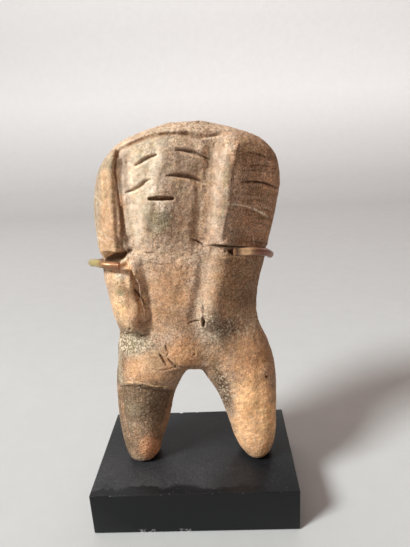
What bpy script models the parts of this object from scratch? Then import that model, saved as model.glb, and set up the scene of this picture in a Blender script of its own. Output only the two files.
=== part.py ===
"""A hand-modelled clay figurine of the Valdivia kind, on a black stone block.

The figure is one piece of fired clay: a thick cap of hair round a flat face,
arms laid on the body and two short tapering legs. A bent brass wire that
stands in the block comes round its neck and ends in two hooks.

Metres, +Z up. The face looks along -Y. The origin is the middle of the
block's underside. The tables of the clay figure are in millimetres.
"""
import math
from collections import namedtuple

import bmesh
import bpy
import numpy as np
from mathutils import Vector
from mathutils.bvhtree import BVHTree

MM = 0.001

# The block
PLINTH_WIDTH = 60.0 * MM
PLINTH_DEPTH = 40.0 * MM
PLINTH_HEIGHT = 13.3 * MM
PLINTH_EDGE = 0.25 * MM

# The clearance that touching pieces keep
GAP = 0.3 * MM

# The brass wire
WIRE_RADIUS = 1.0 * MM
POST_RADIUS = 1.25 * MM
POST_X = 18.0 * MM
POST_Y = 12.0 * MM
POST_SUNK = 8.5 * MM
CROSS_WIRE_HEIGHT = 76.7 * MM
BRAZE_RADIUS = 1.9 * MM
BRAZE_FORWARD = 0.5 * MM

# Steps of the smooth curves between two given points
LEVEL_STEPS = 8
CUT_STEPS = 4
WIRE_STEPS = 2

# Facets of the drilled hole and of the brazed joint
HOLE_SIDES = 24
BRAZE_SIDES = 14
BRAZE_RINGS = 10

# Below this, the points of a closed tube are one point
WELD_DISTANCE = 0.01 * MM

# The clay figure
FOOT_HEIGHT = 13.6
RING_MIDDLE_BACK = 0.5
RING_POINTS = 72
RING_STEP = 1.2
CLAY_VOXEL = 0.55 * MM
CLAY_SMOOTH_PASSES = 8
CLAY_SETTLE_PASSES = 2
CLAY_SMOOTHING = 0.5
CLAY_TRIANGLES = 6000

# A press fades out where the clay turns away from it; 1 would fade it from
# the middle of the face outward, more keeps it whole further round
PRESS_WRAP = 1.6

# From here, well before the clay, a ray looks for its front, in millimetres
RAY_START = -60.0

# How far, in its own radii, an incised line's cutter stands above the clay
CUTTER_LIFT = 0.1

# Edges sharper than these angles keep their corner when shaded
CLAY_CORNER = math.radians(50)
BRASS_CORNER = math.radians(45)

# A level of a limb or of the trunk: height, its left, right, front and back
# edge, and how square its outline is (2 is an ellipse)
Level = namedtuple("Level", "height left right front back square")

TRUNK = (
    Level(44.0, -8.0, 8.6, -4.0, 5.6, 2.0),
    Level(46.2, -20.3, 22.6, -8.0, 9.6, 2.2),
    Level(50.0, -21.8, 23.6, -9.5, 11.0, 2.3),
    Level(56.0, -20.5, 21.1, -9.5, 10.4, 2.3),
    Level(62.0, -21.8, 20.3, -9.4, 9.6, 2.3),
    Level(70.0, -22.7, 21.2, -9.7, 9.8, 2.4),
    Level(77.0, -23.1, 23.1, -9.9, 10.4, 2.4),
    Level(84.0, -23.8, 24.8, -10.2, 11.6, 2.4),
    Level(91.0, -23.7, 26.5, -10.5, 12.1, 2.4),
    Level(98.0, -22.6, 27.4, -10.7, 11.9, 2.4),
    Level(104.0, -20.2, 26.3, -10.6, 11.0, 2.4),
    Level(108.5, -15.6, 22.4, -10.0, 9.4, 2.3),
    Level(111.2, -9.8, 16.0, -8.9, 7.2, 2.2),
    Level(113.4, -1.6, 8.0, -5.4, 3.6, 2.0),
)
LEFT_LEG = (
    Level(FOOT_HEIGHT, -20.9, -12.7, -6.5, 3.2, 2.3),
    Level(15.2, -21.8, -11.3, -7.5, 4.4, 2.2),
    Level(19.0, -22.4, -10.3, -8.2, 5.2, 2.1),
    Level(26.0, -23.3, -7.7, -8.8, 6.4, 2.1),
    Level(34.0, -23.2, -5.6, -9.4, 8.4, 2.1),
    Level(41.0, -22.9, -2.2, -9.5, 9.8, 2.2),
    Level(45.0, -22.3, 1.2, -9.4, 10.2, 2.2),
    Level(51.0, -21.0, 5.0, -8.6, 9.6, 2.2),
)
RIGHT_LEG = (
    Level(FOOT_HEIGHT, 16.0, 22.2, -6.4, 3.0, 2.0),
    Level(15.2, 14.4, 23.9, -7.8, 4.3, 2.0),
    Level(19.0, 12.6, 25.0, -8.6, 5.2, 2.1),
    Level(26.0, 10.6, 25.5, -9.1, 6.4, 2.1),
    Level(34.0, 8.0, 25.7, -9.5, 8.4, 2.1),
    Level(41.0, 4.3, 25.5, -9.5, 9.8, 2.2),
    Level(45.0, 1.8, 25.0, -9.4, 10.2, 2.2),
    Level(51.0, -2.0, 23.2, -8.6, 9.6, 2.2),
)

# A soft ridge or hollow pressed into the clay: its path in x and height, its
# half width, how far it stands out (or goes in), and which face it is on
Press = namedtuple("Press", "path half_width rise face")
FRONT, BACK = -1, 1

PRESSES = {
    "hair strip": Press(((-18.0, 81.0), (-18.4, 92.0), (-17.8, 100.0), (-15.8, 106.0)), 5.2, 2.0, FRONT),
    "hair over brow": Press(((-16.0, 106.0), (-8.0, 111.8), (4.0, 113.4), (15.0, 112.0)), 3.4, 1.3, FRONT),
    "face edge": Press(((-12.2, 83.0), (-12.4, 104.0)), 3.6, -0.9, FRONT),
    "face keel": Press(((-2.4, 107.0), (-3.9, 100.0), (-5.2, 93.0), (-6.6, 85.0)), 8.5, 1.4, FRONT),
    "face valley": Press(((10.4, 107.0), (7.6, 101.0), (7.0, 93.0), (5.6, 84.0)), 3.4, -1.6, FRONT),
    "hair crest": Press(((16.4, 108.0), (15.2, 102.0), (13.6, 93.0), (11.6, 83.5)), 5.2, 2.4, FRONT),
    "hair flank": Press(((24.0, 103.0), (24.4, 94.0), (22.0, 85.0)), 5.0, -0.9, FRONT),
    "left arm": Press(((-18.2, 76.4), (-17.0, 69.0), (-15.8, 61.5)), 5.2, 3.5, FRONT),
    "left arm top": Press(((-19.6, 73.4), (-15.4, 73.8)), 4.0, 2.2, FRONT),
    "left arm side": Press(((-11.4, 73.6), (-10.6, 68.0), (-10.4, 59.5)), 2.6, -1.0, FRONT),
    "under left hand": Press(((-18.0, 55.6), (-11.0, 57.2)), 3.0, -0.8, FRONT),
    "belly": Press(((-3.6, 76.0), (-2.8, 64.0)), 8.0, 0.7, FRONT),
    "right arm crest": Press(((11.8, 79.0), (9.6, 72.0), (7.0, 62.0)), 4.6, 1.5, FRONT),
    "right arm valley": Press(((4.6, 79.0), (2.6, 70.0), (1.2, 62.0)), 2.8, -0.25, FRONT),
    "right flank": Press(((17.5, 66.0), (17.0, 56.0)), 5.5, -0.8, FRONT),
    "right hand hollow": Press(((8.5, 58.5), (14.0, 56.0)), 4.0, -0.4, FRONT),
    "mound": Press(((-2.4, 55.0), (-1.4, 51.5)), 6.4, 1.3, FRONT),
    "left groin": Press(((-9.0, 52.5), (-6.0, 48.5)), 2.6, -0.4, FRONT),
    "right groin": Press(((6.5, 53.0), (5.0, 49.0)), 2.8, -0.4, FRONT),
    "left thigh": Press(((-14.5, 48.0), (-14.0, 38.0)), 8.0, 0.8, FRONT),
    "right thigh": Press(((15.5, 49.0), (17.0, 38.0)), 8.0, 0.8, FRONT),
    "hair behind": Press(((-14.0, 91.0), (2.0, 91.0), (18.0, 91.0)), 13.0, 1.0, BACK),
    "nape": Press(((-18.0, 76.5), (0.5, 75.6), (18.0, 76.5)), 3.6, -0.8, BACK),
    "spine": Press(((1.0, 72.0), (0.8, 56.0)), 5.0, -0.9, BACK),
    "left buttock": Press(((-9.5, 51.0), (-9.8, 46.0)), 8.5, 1.5, BACK),
    "right buttock": Press(((12.0, 51.0), (12.2, 46.0)), 8.5, 1.5, BACK),
    "cleft": Press(((1.0, 53.0), (1.2, 45.0)), 3.2, -1.1, BACK),
}

# A line cut with a pointed tool: its path in x and height on the front, and
# its half width in the middle and at the ends
Cut = namedtuple("Cut", "path half_width end_width")

CUTS = {
    "hood_groove": Cut(
        ((-13.2, 82.8), (-14.2, 88.0), (-14.4, 96.0), (-14.4, 103.4), (-13.0, 107.4), (-9.0, 109.4),
         (-3.9, 110.6), (2.2, 110.8), (8.2, 109.8), (13.8, 110.6)), 0.75, 0.3),
    "left_brow": Cut(((-9.7, 103.6), (-6.8, 104.9), (-3.7, 106.2)), 0.55, 0.25),
    "right_brow": Cut(((1.0, 106.9), (3.6, 106.5), (6.0, 105.9), (9.1, 104.3)), 0.6, 0.25),
    "left_eye": Cut(((-12.3, 97.4), (-9.2, 98.7), (-6.0, 100.3)), 0.5, 0.2),
    "right_eye": Cut(((-1.7, 100.8), (0.8, 100.9), (3.0, 100.8), (5.4, 99.9), (7.6, 98.6)), 0.65, 0.25),
    "mouth": Cut(((-6.8, 95.7), (-3.6, 95.5), (-0.3, 95.4)), 0.75, 0.55),
    "hair_line_upper": Cut(((15.5, 98.6), (18.9, 98.2), (23.4, 97.2)), 0.35, 0.2),
    "hair_line_lower": Cut(((13.4, 92.4), (16.1, 91.9), (19.9, 90.4), (23.0, 88.7)), 0.35, 0.2),
}

# A groove that runs round the side under the hair, through points in space,
# with its radius at each
Notch = namedtuple("Notch", "points radii")

NOTCHES = {
    "left_notch": Notch(
        ((-12.4, -9.9, 82.4), (-16.4, -9.0, 80.9), (-20.8, -6.2, 79.0), (-24.0, -0.8, 77.6),
         (-24.0, 5.4, 77.0)),
        (0.5, 1.6, 2.4, 2.0, 0.6)),
    "right_notch": Notch(
        ((6.6, -10.4, 81.9), (13.0, -12.0, 81.0), (19.0, -9.2, 79.9), (23.6, -2.6, 78.6),
         (24.0, 5.4, 77.6)),
        (0.4, 1.2, 1.6, 1.5, 0.6)),
}

# The line of the cross wire round the neck, hook to hook
WIRE_LINE = (
    (-15.5, -12.5, 79.0), (-19.3, -11.7, 79.2), (-22.4, -8.7, 79.0), (-24.6, -5.0, 78.1),
    (-25.7, -1.0, 77.1), (-25.7, 3.4, 75.9), (-23.8, 7.8, 75.0), (-19.6, 10.5, 74.8),
    (-11.0, 11.9, 75.4), (0.5, 12.0, 76.2), (11.0, 11.5, 76.7), (18.0, 10.7, 76.7),
    (22.8, 6.4, 76.7), (24.4, 0.5, 76.8), (22.9, -5.8, 79.0), (19.2, -10.5, 80.7),
    (14.3, -13.1, 81.4),
)


def smooth_curve(points, per_span):
    """Points along a smooth curve through the given ones (Catmull-Rom)."""
    knots = [Vector(p) for p in points]
    knots = [2 * knots[0] - knots[1]] + knots + [2 * knots[-1] - knots[-2]]
    line = []
    for a, b, c, d in zip(knots, knots[1:], knots[2:], knots[3:]):
        for step in range(per_span):
            t = step / per_span
            line.append(0.5 * (2 * b + (c - a) * t + (2 * a - 5 * b + 4 * c - d) * t * t
                               + (3 * b - a - 3 * c + d) * t ** 3))
    return line + [knots[-2]]


def new_object(name, mesh, collection):
    """An object for a mesh, linked to a collection."""
    thing = bpy.data.objects.new(name, mesh)
    collection.objects.link(thing)
    return thing


def evaluated_mesh(thing):
    """The mesh of an object with its modifiers applied."""
    depsgraph = bpy.context.evaluated_depsgraph_get()
    return bpy.data.meshes.new_from_object(thing.evaluated_get(depsgraph))


def bake(thing):
    """Apply an object's modifiers."""
    mesh = evaluated_mesh(thing)
    thing.modifiers.clear()
    thing.data = mesh


def material(name, colour, roughness, metallic):
    """A plain Principled material."""
    made = bpy.data.materials.new(name)
    made.use_nodes = True
    shader = made.node_tree.nodes["Principled BSDF"]
    shader.inputs["Base Color"].default_value = (*colour, 1.0)
    shader.inputs["Roughness"].default_value = roughness
    shader.inputs["Metallic"].default_value = metallic
    return made


def boolean(thing, other, operation):
    """Join another closed mesh to an object, or cut it away, at once."""
    modifier = thing.modifiers.new(other.name, "BOOLEAN")
    modifier.operation = operation
    modifier.solver = "EXACT"
    modifier.object = other
    bake(thing)


def wire_object(name, points, radii, collection, sides=2):
    """A closed wire through points, as a mesh, with a radius at each point."""
    curve = bpy.data.curves.new(name, "CURVE")
    curve.dimensions = "3D"
    curve.bevel_depth = 1.0
    curve.bevel_resolution = sides
    curve.use_fill_caps = True
    spline = curve.splines.new("POLY")
    spline.points.add(len(points) - 1)
    for knot, point, radius in zip(spline.points, points, radii):
        knot.co = (*point, 1.0)
        knot.radius = radius
    guide = bpy.data.objects.new(name + "_line", curve)
    bpy.context.scene.collection.objects.link(guide)
    bpy.context.view_layer.update()
    mesh = evaluated_mesh(guide)
    bpy.data.objects.remove(guide)
    mesh_edit = bmesh.new()
    mesh_edit.from_mesh(mesh)
    bmesh.ops.remove_doubles(mesh_edit, verts=mesh_edit.verts, dist=WELD_DISTANCE)
    bmesh.ops.recalc_face_normals(mesh_edit, faces=mesh_edit.faces)
    mesh_edit.to_mesh(mesh)
    mesh_edit.free()
    return new_object(name, mesh, collection)


def levels_between(levels):
    """Levels at even heights, smoothly through the given ones."""
    line = smooth_curve([level[1:4] for level in levels], LEVEL_STEPS)
    rest = smooth_curve([(level.back, level.square, level.height) for level in levels], LEVEL_STEPS)
    made = [Level(b[2], *a, b[0], b[1]) for a, b in zip(line, rest)]
    kept = [made[0]]
    for level in made[1:-1]:
        if level.height - kept[-1].height > RING_STEP:
            kept.append(level)
    return kept + [made[-1]]


def ring(level):
    """The outline of one level, as points."""
    middle_x = (level.left + level.right) / 2
    middle_y = (level.front + level.back) / 2 + RING_MIDDLE_BACK
    half_x = (level.right - level.left) / 2
    points = []
    for index in range(RING_POINTS):
        angle = 2 * math.pi * index / RING_POINTS
        across, along = math.cos(angle), math.sin(angle)
        half_y = level.back - middle_y if along > 0 else middle_y - level.front
        x = math.copysign(abs(across) ** (2 / level.square), across) * half_x
        y = math.copysign(abs(along) ** (2 / level.square), along) * half_y
        points.append(Vector((middle_x + x, middle_y + y, level.height)) * MM)
    return points


def loft(name, levels, collection):
    """A closed solid through the outlines of its levels."""
    mesh_edit = bmesh.new()
    rings = [[mesh_edit.verts.new(point) for point in ring(level)] for level in levels_between(levels)]
    for low, high in zip(rings, rings[1:]):
        for index in range(RING_POINTS):
            after = (index + 1) % RING_POINTS
            mesh_edit.faces.new((low[index], low[after], high[after], high[index]))
    mesh_edit.faces.new(list(reversed(rings[0])))
    mesh_edit.faces.new(rings[-1])
    mesh = bpy.data.meshes.new(name)
    mesh_edit.to_mesh(mesh)
    mesh_edit.free()
    return new_object(name, mesh, collection)


def distance_to_path(spots, path):
    """Distance of each (x, height) spot to a path of straight runs."""
    path = np.array(path, dtype=float)
    nearest = np.full(len(spots), np.inf)
    for start, end in zip(path, path[1:]):
        run = end - start
        share = np.clip((spots - start) @ run / (run @ run), 0.0, 1.0)
        nearest = np.minimum(nearest, np.linalg.norm(spots - start - share[:, None] * run, axis=1))
    return nearest


def press_clay(thing):
    """Raise and sink the soft forms of the clay surface."""
    mesh = thing.data
    count = len(mesh.vertices)
    places = np.empty(count * 3)
    normals = np.empty(count * 3)
    mesh.vertices.foreach_get("co", places)
    mesh.vertices.foreach_get("normal", normals)
    places = places.reshape(-1, 3)
    normals = normals.reshape(-1, 3)
    spots = places[:, (0, 2)] / MM
    for press in PRESSES.values():
        near = distance_to_path(spots, press.path) / press.half_width
        shape = np.where(near < 1, (1 - near ** 2) ** 2, 0.0)
        facing = np.clip(normals[:, 1] * press.face * PRESS_WRAP, 0.0, 1.0)
        places[:, 1] += shape * facing * press.rise * press.face * MM
    mesh.vertices.foreach_set("co", places.ravel())
    mesh.update()


def surface_tree(thing):
    """A search tree of an object's surface."""
    mesh_edit = bmesh.new()
    mesh_edit.from_mesh(thing.data)
    tree = BVHTree.FromBMesh(mesh_edit)
    mesh_edit.free()
    return tree


def on_front(tree, x, height):
    """The place on the front surface at an x and a height, in millimetres."""
    start = Vector((x, RAY_START, height)) * MM
    place, normal, _, _ = tree.ray_cast(start, Vector((0, 1, 0)))
    return place, normal


def cut_cutter(name, cut, tree, collection):
    """The tapered cutter of one incised line, half sunk in the surface."""
    flat = smooth_curve([(x, height, 0.0) for x, height in cut.path], CUT_STEPS)
    points, radii = [], []
    for index, spot in enumerate(flat):
        place, normal = on_front(tree, spot.x, spot.y)
        share = math.sin(math.pi * index / (len(flat) - 1)) ** 0.5
        radius = (cut.end_width + (cut.half_width - cut.end_width) * share) * MM
        points.append(place + normal * radius * CUTTER_LIFT)
        radii.append(radius)
    return wire_object(name, points, radii, collection, sides=1)


def notch_cutter(name, notch, collection):
    """The cutter of a groove round the side."""
    points = smooth_curve([Vector(point) * MM for point in notch.points], CUT_STEPS)
    radii = [spot.x * MM for spot in smooth_curve([(radius, 0, 0) for radius in notch.radii], CUT_STEPS)]
    return wire_object(name, points, radii, collection, sides=1)


def make_figurine(parts, cutters):
    """The clay figure: trunk and legs grown together, pressed and cut."""
    figure = loft("figurine", TRUNK, parts)
    for name, levels in (("left_leg", LEFT_LEG), ("right_leg", RIGHT_LEG)):
        leg = loft(name, levels, cutters)
        boolean(figure, leg, "UNION")
        bpy.data.objects.remove(leg)
    remesh = figure.modifiers.new("clay", "REMESH")
    remesh.mode = "VOXEL"
    remesh.voxel_size = CLAY_VOXEL
    smooth = figure.modifiers.new("wiped", "SMOOTH")
    smooth.factor = CLAY_SMOOTHING
    smooth.iterations = CLAY_SMOOTH_PASSES
    bake(figure)
    press_clay(figure)
    settle = figure.modifiers.new("settled", "SMOOTH")
    settle.factor = CLAY_SMOOTHING
    settle.iterations = CLAY_SETTLE_PASSES
    thin = figure.modifiers.new("facets", "DECIMATE")
    thin.ratio = CLAY_TRIANGLES / (2 * len(figure.data.polygons))
    bake(figure)
    tree = surface_tree(figure)
    for name, notch in NOTCHES.items():
        boolean(figure, notch_cutter(name, notch, cutters), "DIFFERENCE")
    for name, cut in CUTS.items():
        boolean(figure, cut_cutter(name, cut, tree, cutters), "DIFFERENCE")
    figure.data.shade_smooth()
    figure.data.set_sharp_from_angle(angle=CLAY_CORNER)
    figure.data.materials.clear()
    figure.data.materials.append(material("fired_clay", (0.52, 0.33, 0.21), 0.85, 0.0))
    return figure


def make_plinth(parts, cutters):
    """The black block, with the hole that the brass rod stands in."""
    bpy.ops.mesh.primitive_cube_add(size=1.0, location=(0, 0, PLINTH_HEIGHT / 2))
    block = bpy.context.object
    block.name = "plinth"
    block.scale = (PLINTH_WIDTH, PLINTH_DEPTH, PLINTH_HEIGHT)
    bpy.ops.object.transform_apply(location=False, rotation=False, scale=True)
    edge = block.modifiers.new("edge", "BEVEL")
    edge.width = PLINTH_EDGE
    edge.segments = 2
    bpy.ops.mesh.primitive_cylinder_add(
        vertices=HOLE_SIDES, radius=POST_RADIUS + GAP, depth=2 * (POST_SUNK + GAP),
        location=(POST_X, POST_Y, PLINTH_HEIGHT))
    hole = bpy.context.object
    hole.name = "rod_hole"
    hole.hide_render = True
    hole.display_type = "WIRE"
    drill = block.modifiers.new("rod_hole", "BOOLEAN")
    drill.operation = "DIFFERENCE"
    drill.solver = "EXACT"
    drill.object = hole
    for thing, home in ((block, parts), (hole, cutters)):
        for old in list(thing.users_collection):
            old.objects.unlink(thing)
        home.objects.link(thing)
    block.data.materials.append(material("black_stone", (0.014, 0.014, 0.016), 0.3, 0.0))
    return block


def make_mount(parts, cutters):
    """The brass rod and the cross wire with its two hooks, brazed together."""
    line = smooth_curve([Vector(point) * MM for point in WIRE_LINE], WIRE_STEPS)
    mount = wire_object("brass_mount", line, [WIRE_RADIUS] * len(line), parts, sides=2)
    foot = PLINTH_HEIGHT - POST_SUNK
    rod = wire_object("rod", [(POST_X, POST_Y, foot), (POST_X, POST_Y, CROSS_WIRE_HEIGHT)],
                      [POST_RADIUS] * 2, cutters, sides=3)
    boolean(mount, rod, "UNION")
    bpy.ops.mesh.primitive_uv_sphere_add(
        segments=BRAZE_SIDES, ring_count=BRAZE_RINGS, radius=BRAZE_RADIUS,
        location=(POST_X, POST_Y - BRAZE_FORWARD, CROSS_WIRE_HEIGHT))
    braze = bpy.context.object
    boolean(mount, braze, "UNION")
    for helper in (rod, braze):
        bpy.data.objects.remove(helper)
    mount.data.shade_smooth()
    mount.data.set_sharp_from_angle(angle=BRASS_CORNER)
    mount.data.materials.clear()
    mount.data.materials.append(material("brass", (0.62, 0.40, 0.18), 0.35, 1.0))
    return mount


def clear_scene():
    """Empty the file's scene."""
    for thing in list(bpy.data.objects):
        bpy.data.objects.remove(thing)


def main():
    """Build the three pieces."""
    clear_scene()
    parts = bpy.data.collections.new("valdivia_figurine")
    cutters = bpy.data.collections.new("cutters")
    bpy.context.scene.collection.children.link(parts)
    bpy.context.scene.collection.children.link(cutters)
    make_figurine(parts, cutters)
    make_plinth(parts, cutters)
    make_mount(parts, cutters)
    for cutter in cutters.objects:
        cutter.hide_render = True
        cutter.display_type = "WIRE"


main()
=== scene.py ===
"""The finish of a hand-built Valdivia figurine, its brass mount and its black block.

The clay figure is worked over a copy of its solid: the surface is remeshed
finely, cut with the strokes, grooves, cracks and pits that the photograph
shows, roughened with grain, and painted with the clay's own stains and with
painted highlights and painted shade on its forms. The block's top has a
painted sheen and the paper painted light and shade. Places on the front of the
clay are pixels of the photograph, 410 wide and 547 high, which a ray from the
camera carries onto the clay. Sizes are metres.
"""

import math
import random
from collections import namedtuple

import bmesh
import bpy
import numpy as np
from bpy.props import FloatProperty, FloatVectorProperty, IntProperty, PointerProperty
from mathutils import Matrix, Vector, noise


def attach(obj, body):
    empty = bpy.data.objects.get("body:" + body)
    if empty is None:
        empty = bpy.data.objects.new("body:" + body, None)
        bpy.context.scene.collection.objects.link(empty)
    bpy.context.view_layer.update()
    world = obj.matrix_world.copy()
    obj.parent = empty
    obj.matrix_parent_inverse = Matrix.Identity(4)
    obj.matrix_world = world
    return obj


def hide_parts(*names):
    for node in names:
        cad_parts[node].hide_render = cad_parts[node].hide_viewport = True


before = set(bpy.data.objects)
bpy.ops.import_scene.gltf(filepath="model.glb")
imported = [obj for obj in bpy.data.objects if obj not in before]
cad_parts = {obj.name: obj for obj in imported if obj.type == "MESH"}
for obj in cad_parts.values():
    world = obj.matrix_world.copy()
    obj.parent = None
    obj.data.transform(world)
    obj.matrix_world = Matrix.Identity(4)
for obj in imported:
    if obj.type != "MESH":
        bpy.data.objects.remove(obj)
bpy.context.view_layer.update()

bl_info = {
    "name": "Valdivia Figurine Finish",
    "version": (1, 0, 0),
    "blender": (4, 5, 0),
    "location": "3D View > Sidebar > Figurine",
    "description": "Works the clay, brass and stone surfaces of a figurine on its mount",
    "category": "Object",
}

MM = 0.001
UP = Vector((0.0, 0.0, 1.0))

# From the object toward the window
WINDOW_TOWARD = (-0.60, -0.415, 0.605)

# The block, and the brass: its line round the neck from hook to hook, and the
# rod behind, in millimetres as in the part
BLOCK_SIZE = Vector((60.0, 40.0, 13.3)) * MM
BLOCK_EDGE = 0.3 * MM
ROD_PLACE = (18.0, 12.0)
ROD_FOOT, ROD_TOP = 4.8, 76.7
ROD_RADIUS, ROD_HOLE_RADIUS = 1.25, 1.55
WIRE_RADIUS = 1.0
WIRE_END_ROUNDING = 0.28
BEAD_RADIUS = 1.9
BEAD_PLACE = (18.0, 11.5, 76.7)
WIRE_LINE = (
    (-15.5, -12.5, 79.0), (-19.3, -11.7, 79.2), (-22.4, -8.7, 79.0), (-24.6, -5.0, 78.1),
    (-25.7, -1.0, 77.1), (-25.7, 3.4, 75.9), (-23.8, 7.8, 75.0), (-19.6, 10.5, 74.8),
    (-11.0, 11.9, 75.4), (0.5, 12.0, 76.2), (11.0, 11.5, 76.7), (18.0, 10.7, 76.7),
    (22.8, 6.4, 76.7), (24.4, 0.5, 76.8), (22.9, -5.8, 79.0), (19.2, -10.5, 80.7),
    (14.3, -13.1, 81.4),
)

# Chips off the block's edges: place in millimetres and size
CHIPS = (
    ((-16.4, -20.0, 0.1), 0.7), ((-14.2, -20.0, 0.0), 0.55), ((-12.7, -20.1, 0.1), 0.5),
    ((-4.6, -20.0, 0.0), 0.6), ((-2.9, -20.1, 0.05), 0.5), ((-24.0, -20.1, 13.35), 0.35),
    ((-9.5, -20.1, 13.35), 0.4), ((5.3, -20.1, 13.4), 0.32), ((13.8, -20.1, 13.4), 0.4),
    ((24.6, -20.1, 13.35), 0.35), ((-6.4, 20.1, 13.4), 0.8), ((-0.6, 20.1, 13.4), 0.6),
    ((9.8, 20.0, 13.4), 0.5), ((-30.1, -6.0, 13.4), 0.45), ((30.1, 5.0, 13.4), 0.5),
    ((30.1, -20.1, 13.4), 0.5), ((-30.1, -20.1, 13.4), 0.45), ((-22.0, 20.1, 0.0), 0.6),
)

# Whitish scuffs low on the block's front, from left to right in millimetres
SCUFFS = ((-16.6, -12.2), (-4.6, -1.8))

# The colours of the light from the window and from the room
DAYLIGHT = (0.915, 1.0, 0.99)
LAMPLIGHT = (0.88, 0.63, 0.50)

# Painted light and shade on the paper: how bright it is at distances back along
# it, in metres, and how much green and blue it keeps there
PAPER_PAINTED_SHADING = (
    (0.06, 0.98, 1.0), (0.18, 0.89, 0.985), (0.36, 0.82, 0.965), (0.55, 0.72, 0.965), (0.7, 0.75, 0.96),
    (0.85, 0.9, 0.96), (1.0, 1.12, 0.965),
)

# Its painted brightness far back on the left and on the right
PAPER_PAINTED_SIDE_LIGHT = (1.02, 1.4)

# The paper sweep: its front edge, where it starts to rise, the radius of its
# bend and its facets, its top, half its width, and how far it lies below the block
PAPER_FRONT, PAPER_RISE, PAPER_BEND, BEND_FACETS = -0.9, 0.55, 0.3, 12
PAPER_TOP, PAPER_HALF_WIDTH, PAPER_BELOW = 2.2, 2.5, 0.0002

# What the lights look at, and their directions, distances and sizes
LIT_PLACE, WASHED_PLACE = Vector((0.0, 0.0, 0.06)), Vector((0.0, 0.85, 0.95))
WINDOW_DISTANCE = 2.6
CEILING_TOWARD, CEILING_DISTANCE, CEILING_SIZE = (-0.15, -0.1, 1.0), 1.0, 0.7
WASH_TOWARD, WASH_DISTANCE, WASH_SIZE = (0.0, -1.0, 0.5), 0.6, 0.8

# The photograph's frame and the camera that took it
PHOTO_WIDTH, PHOTO_HEIGHT = 410, 547
SENSOR_LONG_SIDE = 36.0
FOCAL_PIXELS = 459.9
CAMERA_PLACE = Vector((0.01146, -0.12549, 0.11066))
CAMERA_TURN = math.radians(-2.55)
CAMERA_DIP = math.radians(17.07)
CAMERA_ROLL = math.radians(3.27)

# A line cut into the clay: its path in the photograph, its half width there,
# its depth, and how much of its width is left at its ends
Cut = namedtuple("Cut", "path half_width depth taper")

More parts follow.
